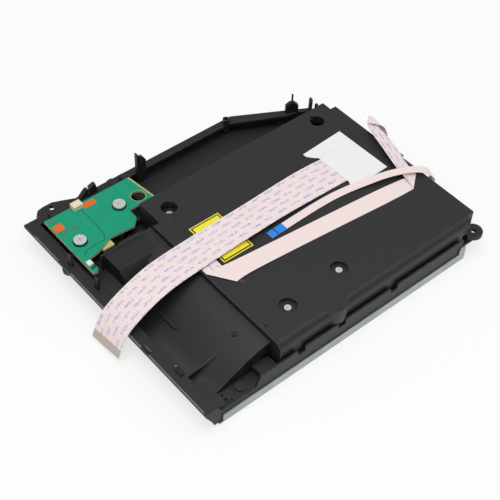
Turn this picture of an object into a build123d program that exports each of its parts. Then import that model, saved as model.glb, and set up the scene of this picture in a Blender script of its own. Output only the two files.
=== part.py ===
"""Slot-loading optical drive of a game console, lying upside down on its steel plate.

The frame is in millimetres: the origin is the middle of the base, +X runs along the steel flange
away from the disc slot, +Y runs back from the flange and +Z points up.
"""

import os
from math import asin, atan2, cos, degrees, pi, radians, sin, tan

from build123d import *

os.makedirs("parts", exist_ok=True)

# Driving sizes in plan: the entry, the raised cover, the bay behind it and what reaches past them
entry_length = 49.5
cover_length = 148.0
lug_reach = 4.5
corner_inset = 9.0
cover_depth = 121.0
back_bay_depth = 36.0
ear_reach = 5.5
case_length = entry_length + cover_length + lug_reach
case_depth = corner_inset + cover_depth + back_bay_depth + ear_reach
left_x, right_x = -case_length / 2, case_length / 2
front_y, back_y = -case_depth / 2, case_depth / 2

# Heights above the table
plate_thickness = 0.8
flange_height = 6.0
wall_top = 16.0
rim_top = 14.0
deck_top = 9.3
deck_thickness = 1.5
deck_bottom = deck_top - deck_thickness
cover_top = 26.0
clip_top = 30.0
wall = 2.0
thin_wall = 1.2
clearance = 0.3

# Raised cover: its right front corner is the landmark for what stands on the case
corner_x, corner_y = right_x - lug_reach, front_y + corner_inset
cover_skin = 1.6
cover_round = 4.5
cover_front_lap = 4.15
seam_x = corner_x - cover_length
cover_front_y = corner_y - cover_front_lap
cover_back_y = corner_y + cover_depth

# Steel plate and plastic front wall
flange_inset = 1.7
flange_y = front_y + flange_inset
front_wall_y = flange_y + plate_thickness
front_wall_end_x = corner_x - 12.7
wall_slope_x = left_x + 31.0
wall_slope_run = 4.7

# Entry lip over the disc slot, and the rim round the back
ledge_width = 7.5
ledge_x = left_x + ledge_width
lip_thickness = 2.0
rim_width = 5.0
rim_y = back_y - ear_reach
rim_corner_x = corner_x - 48.0
rim_end = (corner_x - 3.4, corner_y + 132.6)
slot_top = 7.6
back_floor = 6.5
disc_width = 120.0
slot_margin = 2.0

# Disc, clamped on the spindle
spindle_x, spindle_y = corner_x - 67.5, corner_y + 58.0
clamped_face = 4.1
lift_travel = 5.5


def block(x0, x1, y0, y1, z0, z1, mode=Mode.ADD):
    """A box between two corners."""
    with Locations(((x0 + x1) / 2, (y0 + y1) / 2, (z0 + z1) / 2)):
        Box(x1 - x0, y1 - y0, z1 - z0, mode=mode)


def post(x, y, radius, z0, z1, mode=Mode.ADD):
    """An upright cylinder between two heights."""
    with Locations((x, y, (z0 + z1) / 2)):
        Cylinder(radius, z1 - z0, mode=mode)


def upright(y):
    """The plane X, Z at this y. An extrusion from it runs towards the front."""
    return Plane(origin=(0, y, 0), x_dir=(1, 0, 0), z_dir=(0, -1, 0))


def along_y(x, z, radius, y0, y1, mode=Mode.ADD):
    """A cylinder that lies along Y."""
    with BuildSketch(upright(y1)) as disc:
        with Locations((x, z)):
            Circle(radius)
    extrude(disc.sketch, amount=y1 - y0, mode=mode)


def along_x(y, z, radius, x0, x1, mode=Mode.ADD):
    """A cylinder that lies along X."""
    with BuildSketch(Plane.YZ.offset(x0)) as disc:
        with Locations((y, z)):
            Circle(radius)
    extrude(disc.sketch, amount=x1 - x0, mode=mode)


# Gear teeth, as shares of the module: slim enough to run with backlash
addendum, dedendum = 0.8, 1.1
tip_half_width, root_half_width = 0.3, 0.72


def gear_points(teeth, module, tooth_at):
    """The outline of a spur gear with one tooth pointing at an angle in degrees."""
    tip = module * (teeth / 2 + addendum)
    root = module * (teeth / 2 - dedendum)
    points = []
    for number in range(teeth):
        middle = radians(tooth_at + 360 * number / teeth)
        for radius, half_width in (
            (root, -root_half_width),
            (tip, -tip_half_width),
            (tip, tip_half_width),
            (root, root_half_width),
        ):
            angle = middle + half_width * module / radius
            points.append((radius * cos(angle), radius * sin(angle)))
    return points


def gear_along_y(x, z, teeth, module, tooth_at, y0, y1, bore):
    """A spur gear whose axle lies along Y."""
    with BuildSketch(upright(y1)) as wheel:
        with BuildLine():
            Polyline(*[(x + u, z + v) for u, v in gear_points(teeth, module, tooth_at)], close=True)
        make_face()
        with Locations((x, z)):
            Circle(bore, mode=Mode.SUBTRACT)
    extrude(wheel.sketch, amount=y1 - y0)


# Loading roller and its gear train, with every axle along Y
roller_x = seam_x - 7.0
roller_z = 9.7
roller_end_radius = 4.2
roller_middle_radius = 3.2
shaft_radius = 1.5
running_fit = 0.05
gear_module = 0.5
roller_teeth, wheel_teeth, drive_teeth = 22, 22, 26
small_teeth, pinion_teeth = 10, 8
gear_width = 2.6
gear_gap = 0.4
bearing_wall_y = cover_back_y - 0.5
bearing_wall = 1.5
gear_plane_a = bearing_wall_y + bearing_wall + 0.8
gear_plane_b = gear_plane_a + gear_width + gear_gap
gear_plane_c = gear_plane_b + gear_width + gear_gap
motor_wall_y = gear_plane_c + gear_width + 0.5
motor_wall = 1.4
pin_radius = 0.8


def mesh(x, z, teeth_a, teeth_b, new_z):
    """The place of the next axle to the left at a given height, and the angle towards it."""
    distance = gear_module * (teeth_a + teeth_b) / 2
    angle = 180 - degrees(asin((new_z - z) / distance))
    return x + distance * cos(radians(angle)), new_z, angle


wheel_x, wheel_z, roller_to_wheel = mesh(roller_x, roller_z, roller_teeth, small_teeth, 9.2)
drive_x, drive_z, wheel_to_drive = mesh(wheel_x, wheel_z, wheel_teeth, small_teeth, 9.1)
pinion_x, pinion_z, drive_to_pinion = mesh(drive_x, drive_z, drive_teeth, pinion_teeth, 7.6)

# Traverse unit, with its heights at rest
frame_left, frame_right, frame_half = 68.0, 19.0, 36.5
frame_thickness = 1.2
frame_bottom = clamped_face + lift_travel + 2.0
frame_top = frame_bottom + frame_thickness
ring_left, ring_right, ring_half = 72.6, 22.2, 38.5
ring_bottom = frame_top + 2.4
ring_thickness = 1.6
ring_top = ring_bottom + ring_thickness
ring_skirt_top = 21.6
damper_spots = [(-64.0, -33.0), (-64.0, 33.0), (15.0, -33.0), (15.0, 33.0)]
damper_flange, damper_neck, damper_bore = 3.5, 2.4, 1.1
damper_flange_height = 1.2
rod_radius, rod_offset = 1.5, 24.0
rod_z = frame_top + rod_radius + 0.8
holder_top = rod_z + rod_radius + 0.9
rod_start, rod_end = -67.0, -6.0
lens_inner = 24.0
lead_offset, lead_z = 30.0, frame_top + 3.8
sled_motor_radius = 3.7
window_margin = 1.0

# Slide cam that lowers the traverse unit
cam_travel = 20.0
cam_y = spindle_y + ring_half + 0.5
cam_thickness = 2.0
cam_left, cam_right = 70.0, 14.0
cam_height = 12.4
guide_pin_radius = 1.4
guide_pin_z = ring_top + 2.2
guide_pin_spots = (-44.0, 8.0)
rack_module, rack_teeth = 0.8, 12
rack_pinion_x = -30.0
rack_depth = rack_module * (addendum + dedendum)
rack_pinion_radius = rack_module * rack_teeth / 2
rack_line_y = cam_y + cam_thickness + rack_module * dedendum
rack_pinion_y = rack_line_y + rack_pinion_radius
rack_top = deck_top + 3.0

# Circuit board
board_top, board_thickness = 18.0, 1.6
board_bottom = board_top - board_thickness
board_post_spots = [(corner_x - 148.8, corner_y + 133.2), (corner_x - 181.7, corner_y + 124.0)]
board_post_radius, board_hole_radius = 3.0, 4.2
board_post_top = 18.7
board_screw_radius = 3.65
board_seat_y = bearing_wall_y + bearing_wall
bracket_back_y, bracket_top = corner_y + 111.0, 17.0

# Cover screws: place, pocket radius and pocket depth
cover_screw_spots = [
    (seam_x + 16.0, cover_back_y - 12.5, 4.85, 6.0),
    (seam_x + 21.0, corner_y + 14.0, 5.25, 2.4),
    (seam_x + 59.6, corner_y + 16.3, 5.1, 2.4),
]
screw_head_radius, screw_head_height, screw_shank_radius = 1.9, 1.0, 1.0
screw_post_radius = 2.5

# Entry tray between the seam and the lip
tray_skin = 1.6
tray_front_y = corner_y + 3.0
tray_back_y = corner_y + 104.5
tray_left_x = ledge_x
tray_right_x = seam_x - clearance
tray_low, tray_high = 9.5, 24.0
shelf_x, shelf_low, shelf_top = corner_x - 179.5, 12.4, 23.0

platform_x, platform_y = corner_x - 184.5, corner_y + 12.0
board_bay_width, board_bay_y = 4.7, corner_y + 102.3
bead, bead_width = 0.5, 1.1
access_x, access_y, access_radius = corner_x - 18.0, cover_back_y - 10.0, 4.5
bush_radius = 2.5
roller_zone_x = roller_x - roller_end_radius - window_margin
front_bearing_y = corner_y + 2.6
slot_front_y = spindle_y - disc_width / 2 - slot_margin
slot_back_y = spindle_y + disc_width / 2 + slot_margin
guide_tab_spots = (-40.0, 5.0)
guide_tab_width, guide_tab_reach = 3.0, 2.2
guide_front_y = spindle_y - ring_half - clearance
tongue_spots = (corner_x - 134.5, corner_x - 106.0, corner_x - 67.5)
lug_radius, lug_thickness, lug_hole_radius = 5.5, 2.5, 1.6
ear_x, ear_y, ear_hole_radius = corner_x - 177.7, back_y - 3.5, 1.8

# Disc stop arm, pivoted beside the spindle
stop_x, stop_y = corner_x - 14.0, corner_y + 92.0
stop_reach, stop_slot = 42.0, 4.2
stop_angle, stop_swing = -100.0, 20.0
arm_thickness = 1.4
arm_width, stop_pin_radius = 5.0, 1.5
stop_path = CenterArc((stop_x, stop_y), stop_reach, stop_angle - 1.0, stop_swing + 2.0)

# Clamp, turntable, motors and pickup
disc_thickness = 1.2
clamp_radius = 15.0
clamp_finger_z = 2.6
turntable_face = clamped_face + lift_travel
turntable_radius, rotor_radius = 15.0, 13.5
rotor_top = turntable_face + 6.0
motor_base_z = rotor_top + 0.2
spindle_radius = 1.0
damper_foot = ring_bottom - damper_flange_height
damper_head = ring_top + damper_flange_height
carriage_top = 19.8
lens_radius, lens_z = 2.4, 10.4
lead_radius, lead_end = 1.4, 57.0
cam_bottom = deck_top + 0.2
rack_tooth_at = -90.0
pivot_radius, stop_pivot_radius = 1.4, 1.9
motor_shaft_radius = 0.75

# Ribbon cables: widths, slots and the points of their routes
ribbon_thickness = 0.3
wide_ribbon_width, wide_slot_x, wide_ribbon_y = 22.0, corner_x - 34.2, corner_y + 73.2
folded_ribbon_width, folded_slot_y = 11.0, corner_y + 79.5
narrow_ribbon_width, narrow_slot_y = 5.0, corner_y + 36.0
side_slot_z = 20.0
# Along the wide ribbon's run from its slot, and up
wide_route = [
    (0.0, 24.0),
    (2.6, 26.3),
    (9.0, 26.4),
    (16.0, 26.5),
    (33.0, 26.7),
    (65.0, 27.1),
    (95.0, 26.8),
    (119.0, 27.4),
    (137.0, 27.2),
    (154.0, 23.3),
    (168.0, 15.5),
    (174.0, 7.0),
    (176.6, 1.7),
]
wide_drift = -2.0
# From the folded ribbon's last fold: along its run and up
folded_route = [
    (0.0, 26.3),
    (12.0, 26.9),
    (26.0, 28.6),
    (38.0, 30.4),
    (47.0, 30.6),
    (49.0, 26.5),
    (46.5, 22.0),
    (41.0, 20.0),
]
folded_drift = 75.0
folded_start = (corner_x - 4.6, corner_y + 41.0)
narrow_route = [
    (corner_x - 102.5, corner_y + 57.0, 26.4),
    (corner_x - 81.0, corner_y + 58.0, 26.5),
    (corner_x - 57.0, corner_y + 58.6, 26.4),
    (corner_x - 36.0, corner_y + 57.4, 26.9),
    (corner_x - 20.0, corner_y + 54.5, 28.4),
    (corner_x - 8.0, corner_y + 48.5, 29.2),
    (corner_x + 0.5, corner_y + 41.0, 28.8),
    (corner_x + 5.2, corner_y + 37.0, 26.4),
    (corner_x + 6.5, corner_y + 36.0, 20.0),
]


def bend_radii(points):
    """For each corner of a route, the largest arc that leaves a tenth of each run straight."""
    radii = []
    for before, corner, after in zip(points, points[1:], points[2:]):
        first, second = Vector(*corner) - Vector(*before), Vector(*after) - Vector(*corner)
        half_turn = radians(first.get_angle(second) / 2)
        radii.append(0.45 * min(first.length, second.length) / tan(half_turn))
    return radii


def ribbon(start, drift, route, width):
    """A flat ribbon whose route lies in the upright plane that leaves a point at an angle in plan."""
    along = (cos(radians(drift)), sin(radians(drift)))
    side_plane = Plane(origin=(*start, 0), x_dir=(*along, 0), z_dir=(along[1], -along[0], 0))
    with BuildSketch(side_plane) as profile:
        with BuildLine():
            FilletPolyline(*route, radius=bend_radii(route))
        trace(line_width=ribbon_thickness)
    extrude(profile.sketch, amount=width / 2, both=True)


# Steel plate with its front flange
with BuildPart() as metal_plate:
    with BuildSketch():
        with BuildLine():
            Polyline(
                (ledge_x + 0.5, flange_y),
                (corner_x - 10.0, flange_y),
                (corner_x - 10.0, corner_y),
                (corner_x - 1.0, corner_y),
                (corner_x - 1.0, rim_end[1] - 19.0),
                (rim_end[0] - 1.0, rim_end[1] - 1.0),
                (rim_corner_x - 0.5, rim_y - 1.0),
                (ledge_x + 0.5, rim_y - 1.0),
                close=True,
            )
        make_face()
    extrude(amount=plate_thickness)
    with BuildSketch(upright(flange_y + plate_thickness)):
        with BuildLine():
            Polyline(
                (left_x + 10.5, 0),
                (corner_x - 10.0, 0),
                (corner_x - 10.0, flange_height + 5.0),
                (corner_x - 15.0, flange_height + 5.0),
                (corner_x - 15.0, flange_height),
                (left_x + 10.5, flange_height),
                close=True,
            )
        make_face()
    extrude(amount=plate_thickness)
    tab_corners = metal_plate.edges().filter_by(Axis.Y).group_by(Axis.Z)[-1]
    fillet(tab_corners, 2.2)
    post(spindle_x, spindle_y, 11.0, 0.0, plate_thickness, mode=Mode.SUBTRACT)
    # Shallow ribs pressed into the plate stiffen it
    for rib_x in (left_x + 30.0, corner_x - 20.0):
        rib_front, rib_back = corner_y + 20.0, cover_back_y - 20.0
        block(rib_x, rib_x + 3.0, rib_front, rib_back, plate_thickness, plate_thickness + 0.4)

# Plastic chassis
with BuildPart() as main_chassis:
    # Outer walls of the body
    with BuildSketch(Plane.XY.offset(plate_thickness)):
        with BuildLine():
            Polyline(
                (ledge_x - wall, front_wall_y),
                (front_wall_end_x, front_wall_y),
                (front_wall_end_x, cover_front_y),
                (corner_x, cover_front_y + 4.0),
                (corner_x, rim_end[1] - 18.0),
                rim_end,
                (rim_corner_x, rim_y),
                (ledge_x - wall, rim_y),
                close=True,
            )
        make_face()
        offset(amount=-wall, mode=Mode.SUBTRACT)
    extrude(amount=deck_top - plate_thickness)
    # Front wall above the deck
    with BuildSketch(upright(front_wall_y + thin_wall)):
        with BuildLine():
            Polyline(
                (ledge_x, plate_thickness),
                (front_wall_end_x, plate_thickness),
                (front_wall_end_x, wall_top),
                (wall_slope_x + wall_slope_run, wall_top),
                (wall_slope_x, flange_height + 0.5),
                (ledge_x, flange_height + 0.5),
                close=True,
            )
        make_face()
    extrude(amount=thin_wall)
    # Deck over the disc, with the window that the traverse unit comes down through
    deck_left_x = roller_x + roller_end_radius + window_margin
    block(deck_left_x, corner_x, front_wall_y + 1.0, cover_back_y, deck_bottom, deck_top)
    block(
        spindle_x - frame_left - window_margin,
        spindle_x + frame_right + window_margin,
        spindle_y - frame_half - window_margin,
        spindle_y + frame_half + window_margin,
        deck_bottom,
        deck_top,
        mode=Mode.SUBTRACT,
    )
    # Floor strips before and behind the tray, over the edges of the disc
    for strip_x, strip_front, strip_back in (
        (ledge_x, front_wall_y + thin_wall, tray_front_y),
        (ledge_x + 9.0, tray_front_y, tray_front_y + tray_skin),
        (ledge_x + 9.0, tray_back_y - tray_skin, tray_back_y),
        (ledge_x, tray_back_y, bearing_wall_y),
    ):
        block(strip_x, roller_zone_x, strip_front, strip_back, deck_bottom, deck_top)
    # Back floor and rim
    with BuildSketch(Plane.XY.offset(back_floor - deck_thickness)):
        with BuildLine():
            Polyline(
                (deck_left_x + 18.0, cover_back_y - 1.0),
                (corner_x - 1.0, cover_back_y - 10.0),
                (corner_x - 1.0, rim_end[1] - 17.0),
                (rim_end[0] - 1.0, rim_end[1] - 1.0),
                (rim_corner_x, rim_y - 1.0),
                (deck_left_x + 18.0, rim_y - 1.0),
                close=True,
            )
        make_face()
    extrude(amount=deck_thickness)
    with BuildSketch(Plane.XY.offset(rim_top - lip_thickness)):
        with BuildLine():
            Polyline(
                (ledge_x, rim_y - rim_width),
                (ledge_x, rim_y),
                (rim_corner_x, rim_y),
                rim_end,
                (rim_end[0] - 16.0, rim_end[1] + 3.0),
                (rim_corner_x - rim_width, rim_y - rim_width),
                close=True,
            )
        make_face()
    extrude(amount=lip_thickness)
    with BuildSketch(Plane.XY.offset(deck_bottom)):
        with BuildLine():
            Polyline(
                (ledge_x - wall, rim_y),
                (rim_corner_x, rim_y),
                rim_end,
                (rim_end[0] - 4.0, rim_end[1] - 1.0),
                (rim_corner_x - 1.0, rim_y - wall),
                (ledge_x - wall, rim_y - wall),
                close=True,
            )
        make_face()
    extrude(amount=rim_top - deck_bottom)
    # Entry lip, whose underside leads the disc in
    with BuildSketch(upright(rim_y)):
        with BuildLine():
            Polyline(
                (left_x, rim_top),
                (ledge_x, rim_top),
                (ledge_x, slot_top),
                (left_x + 4.0, rim_top - lip_thickness - 1.4),
                (left_x, rim_top - lip_thickness),
                close=True,
            )
        make_face()
    extrude(amount=rim_y - front_wall_y)
    # The lip's ends close the slot at both sides
    for end_front, end_back in ((front_wall_y, slot_front_y), (slot_back_y, rim_y)):
        with BuildSketch(upright(end_back)):
            with BuildLine():
                Polyline(
                    (left_x, rim_top),
                    (ledge_x, rim_top),
                    (ledge_x, plate_thickness),
                    (ledge_x - wall, plate_thickness),
                    (left_x + 5.0, 3.0),
                    (left_x, rim_top - lip_thickness),
                    close=True,
                )
            make_face()
        extrude(amount=end_back - end_front)
    # Disc slot through the left wall
    block(left_x, ledge_x + 0.1, slot_front_y, slot_back_y, 0, slot_top, mode=Mode.SUBTRACT)
    # Stepped platform in the left front corner, with a toothed boss and a knob
    block(ledge_x, platform_x, front_wall_y + thin_wall, platform_y, deck_bottom, rim_top - 1.0)
    with BuildSketch(upright(front_wall_y + thin_wall)):
        with BuildLine():
            Polyline(
                (ledge_x, flange_height + 0.5),
                (ledge_x, rim_top),
                (ledge_x + 4.5, flange_height + 0.5),
                close=True,
            )
        make_face()
    extrude(amount=thin_wall)
    post(corner_x - 179.5, corner_y - 1.6, 2.4, deck_top, deck_top + 1.6)
    with Locations((corner_x - 179.5, corner_y - 1.6, deck_top + 0.5)):
        with PolarLocations(2.6, 6):
            Box(1.6, 1.4, 1.0)
    post(corner_x - 171.5, corner_y - 1.4, 2.7, deck_top, deck_top + 1.8)
    # Screw posts under the cover
    for x, y, pocket_radius, pocket_depth in cover_screw_spots:
        seat = cover_top - pocket_depth - cover_skin - clearance
        post(x, y, screw_post_radius, deck_top, seat)
        post(x, y, screw_shank_radius, deck_bottom, seat, mode=Mode.SUBTRACT)
    # Bearing wall for the roller and the gear pins, also the seat of the circuit board
    block(ledge_x, deck_left_x, bearing_wall_y, bearing_wall_y + bearing_wall, plate_thickness, rim_top)
    block(corner_x - 166.0, corner_x - 152.0, bearing_wall_y, board_seat_y, rim_top, board_bottom)
    # Notched bracket under the board's front edge, which reaches over the roller
    block(corner_x - 166.0, roller_zone_x, corner_y + 107.0, bracket_back_y, deck_top, bracket_top)
    block(corner_x - 166.0, corner_x - 150.0, corner_y + 107.0, bracket_back_y, 14.7, bracket_top)
    for notch_x in (corner_x - 163.4, corner_x - 159.8, corner_x - 156.2):
        block(
            notch_x,
            notch_x + 1.2,
            corner_y + 106.9,
            corner_y + 108.4,
            11.0,
            bracket_top,
            mode=Mode.SUBTRACT,
        )
    block(
        deck_left_x,
        seam_x + board_bay_width - clearance,
        bearing_wall_y,
        bearing_wall_y + bearing_wall,
        deck_bottom,
        rim_top,
    )
    # Floor under the gear train, and the wall that carries the far ends of its pins and the motor
    block(ledge_x, deck_left_x + 20.0, bearing_wall_y, rim_y - wall, plate_thickness, plate_thickness + 0.8)
    block(
        pinion_x - 7.0, wheel_x + 4.0, motor_wall_y, motor_wall_y + motor_wall, plate_thickness, rim_top + 1.0
    )
    along_y(pinion_x, pinion_z, 2.2, motor_wall_y, motor_wall_y + motor_wall, mode=Mode.SUBTRACT)
    for x, z in ((wheel_x, wheel_z), (drive_x, drive_z)):
        for wall_y in (bearing_wall_y, motor_wall_y):
            along_y(x, z, pin_radius, wall_y, wall_y + bearing_wall, mode=Mode.SUBTRACT)
    along_y(
        roller_x, roller_z, bush_radius, bearing_wall_y, bearing_wall_y + bearing_wall, mode=Mode.SUBTRACT
    )
    # Front bearing block of the roller
    block(
        roller_zone_x, deck_left_x, front_wall_y + 1.0, front_bearing_y, slot_top - 1.0, rim_top
    )
    along_y(roller_x, roller_z, bush_radius, slot_front_y, front_bearing_y, mode=Mode.SUBTRACT)
    # Posts that carry the circuit board, and its two rim seats
    for x, y in board_post_spots:
        post(x, y, board_post_radius, plate_thickness, board_post_top)
        post(x, y, 0.9, board_post_top - 6.0, board_post_top, mode=Mode.SUBTRACT)
    for x in (corner_x - 183.0, corner_x - 134.0):
        block(x, x + 3.0, rim_y - 11.0, rim_y - wall, rim_top - lip_thickness, board_bottom)
    # Upright guides for the traverse unit's front tabs, and the cam's back rail
    for spot_x in guide_tab_spots:
        x = spindle_x + spot_x
        block(x - 4.0, x + 4.0, guide_front_y - 4.6, guide_front_y, deck_top, cover_top - cover_skin - 1.0)
        block(
            x - guide_tab_width / 2 - clearance,
            x + guide_tab_width / 2 + clearance,
            guide_front_y - 2.6,
            guide_front_y,
            deck_bottom,
            cover_top,
            mode=Mode.SUBTRACT,
        )
    for rail_x in (spindle_x - 66.0, spindle_x + 8.0):
        block(
            rail_x,
            rail_x + 10.0,
            cam_y + cam_thickness + clearance,
            cam_y + cam_thickness + clearance + 1.6,
            deck_top,
            deck_top + cam_height,
        )
    # Pivots of the rack pinion and of the disc stop arm
    post(spindle_x + rack_pinion_x, rack_pinion_y, 1.4, deck_top, rack_top + 0.8)
    post(stop_x, stop_y, 1.9, deck_top, deck_top + arm_thickness + 1.0)
    # Curved slot for the stop arm's pin
    with BuildSketch(Plane.XY.offset(deck_bottom)):
        SlotArc(stop_path, stop_slot)
    extrude(amount=deck_thickness, mode=Mode.SUBTRACT)
    # Front lug and its post
    lug_x, lug_y = right_x - lug_radius, front_y + lug_radius
    with BuildSketch(Plane.XY.offset(rim_top - lug_thickness)):
        with Locations((lug_x, lug_y)):
            Circle(lug_radius)
        with Locations((lug_x - 3.0, lug_y + 1.5)):
            Rectangle(6.0, 7.0)
        with Locations((lug_x, lug_y)):
            Circle(lug_hole_radius, mode=Mode.SUBTRACT)
    extrude(amount=lug_thickness)
    block(lug_x - 6.0, lug_x - 3.4, lug_y - 1.0, lug_y + 5.0, deck_bottom, rim_top - lug_thickness)
    # Back ear beside the left corner
    with BuildSketch(Plane.XY.offset(rim_top - lug_thickness)):
        with BuildLine():
            Polyline(
                (ear_x - 10.4, rim_y - 1.0),
                (ear_x - 9.6, rim_y + 2.6),
                (ear_x - 7.6, back_y - 0.8),
                (ear_x - 3.6, back_y),
                (ear_x + 2.2, back_y),
                (ear_x + 8.0, back_y - 2.4),
                (ear_x + 17.0, rim_y - 1.0),
                close=True,
            )
        make_face()
        with Locations((ear_x, ear_y)):
            Circle(ear_hole_radius, mode=Mode.SUBTRACT)
    extrude(amount=lug_thickness)
    block(ear_x - 9.4, ear_x - 7.8, rim_y - 1.0, back_y - 1.6, deck_bottom, rim_top - lug_thickness)
    block(ear_x + 4.4, ear_x + 6.0, rim_y - 1.0, back_y - 2.4, deck_bottom, rim_top - lug_thickness)
    # Small side lug on the entry lip, and two hook nubs below it
    post(left_x + 4.2, corner_y + 118.0, 4.2, deck_bottom, deck_bottom + 2.5)
    post(left_x + 3.4, corner_y + 118.0, 1.0, deck_bottom, deck_bottom + 2.5, mode=Mode.SUBTRACT)
    # Hooks, clips and posts on the rim
    with BuildSketch(upright(rim_y - 1.0)):
        with BuildLine():
            Polyline(
                (corner_x - 163.0, rim_top),
                (corner_x - 157.5, rim_top + 5.5),
                (corner_x - 156.0, rim_top + 5.5),
                (corner_x - 156.0, rim_top + 2.5),
                (corner_x - 154.8, rim_top + 2.5),
                (corner_x - 154.8, rim_top + 5.8),
                (corner_x - 150.8, rim_top + 7.0),
                (corner_x - 149.4, rim_top),
                close=True,
            )
        make_face()
    extrude(amount=2.4)
    block(corner_x - 141.0, corner_x - 137.5, rim_y - rim_width, rim_y, rim_top, rim_top + 0.8)
    for clip_x, top in ((corner_x - 123.6, clip_top), (corner_x - 120.2, clip_top - 3.2)):
        with BuildSketch(upright(rim_y - rim_width + 0.6)):
            with BuildLine():
                Polyline(
                    (clip_x, 5.0),
                    (clip_x, top),
                    (clip_x + 1.2, top - 0.8),
                    (clip_x + 2.9, top - 3.6),
                    (clip_x + 2.9, 5.0),
                    close=True,
                )
            make_face()
        extrude(amount=2.4)
    tube_x, tube_y = rim_corner_x - 6.4, rim_y - 3.9
    post(tube_x, tube_y, 2.1, 5.0, rim_top + 4.2)
    post(tube_x, tube_y, 1.1, rim_top - 4.0, rim_top + 4.2, mode=Mode.SUBTRACT)
    # House-shaped block with a spike, in line with the slanting part of the rim
    spike_x, spike_y = corner_x - 15.0, corner_y + 136.8
    rim_slant = atan2(rim_end[1] - rim_y, rim_end[0] - rim_corner_x)
    rim_run = (cos(rim_slant), sin(rim_slant))
    along_rim = Plane(
        origin=(spike_x, spike_y, rim_top), x_dir=(*rim_run, 0), z_dir=(rim_run[1], -rim_run[0], 0)
    )
    with BuildSketch(along_rim):
        with BuildLine():
            Polyline((-4.0, -2.0), (-4.0, 5.6), (-1.4, 8.0), (1.4, 8.0), (4.0, 5.6), (4.0, -2.0), close=True)
        make_face()
    extrude(amount=1.2, both=True)
    post(spike_x, spike_y, 0.6, rim_top + 7.0, rim_top + 14.0)
    # Two prongs at the rim's right end
    with BuildSketch(upright(rim_end[1] + 0.6)):
        with BuildLine():
            Polyline(
                (corner_x - 4.2, rim_top - 2.0),
                (corner_x - 3.9, rim_top + 8.0),
                (corner_x - 2.9, rim_top + 8.0),
                (corner_x - 2.1, rim_top + 6.4),
                (corner_x - 2.1, rim_top - 2.0),
                close=True,
            )
        make_face()
    extrude(amount=1.6)
    block(corner_x - 4.4, corner_x - 0.2, corner_y + 128.4, corner_y + 130.0, deck_bottom, rim_top)
    block(corner_x - 1.8, corner_x - 0.2, corner_y + 128.4, corner_y + 130.0, rim_top, rim_top + 4.0)
    # Small peg on the back floor beside the cover
    with Locations((corner_x - 113.5, cover_back_y + 5.0, 6.5)):
        Cone(1.6, 0.4, 5.0, align=(Align.CENTER, Align.CENTER, Align.MIN))
    # Notches in the front wall, where the plate's tongues clip in
    for tongue_x in tongue_spots:
        block(
            tongue_x - 2.6,
            tongue_x + 2.6,
            front_wall_y,
            front_wall_y + thin_wall,
            wall_top - 3.4,
            wall_top,
            mode=Mode.SUBTRACT,
        )


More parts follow.
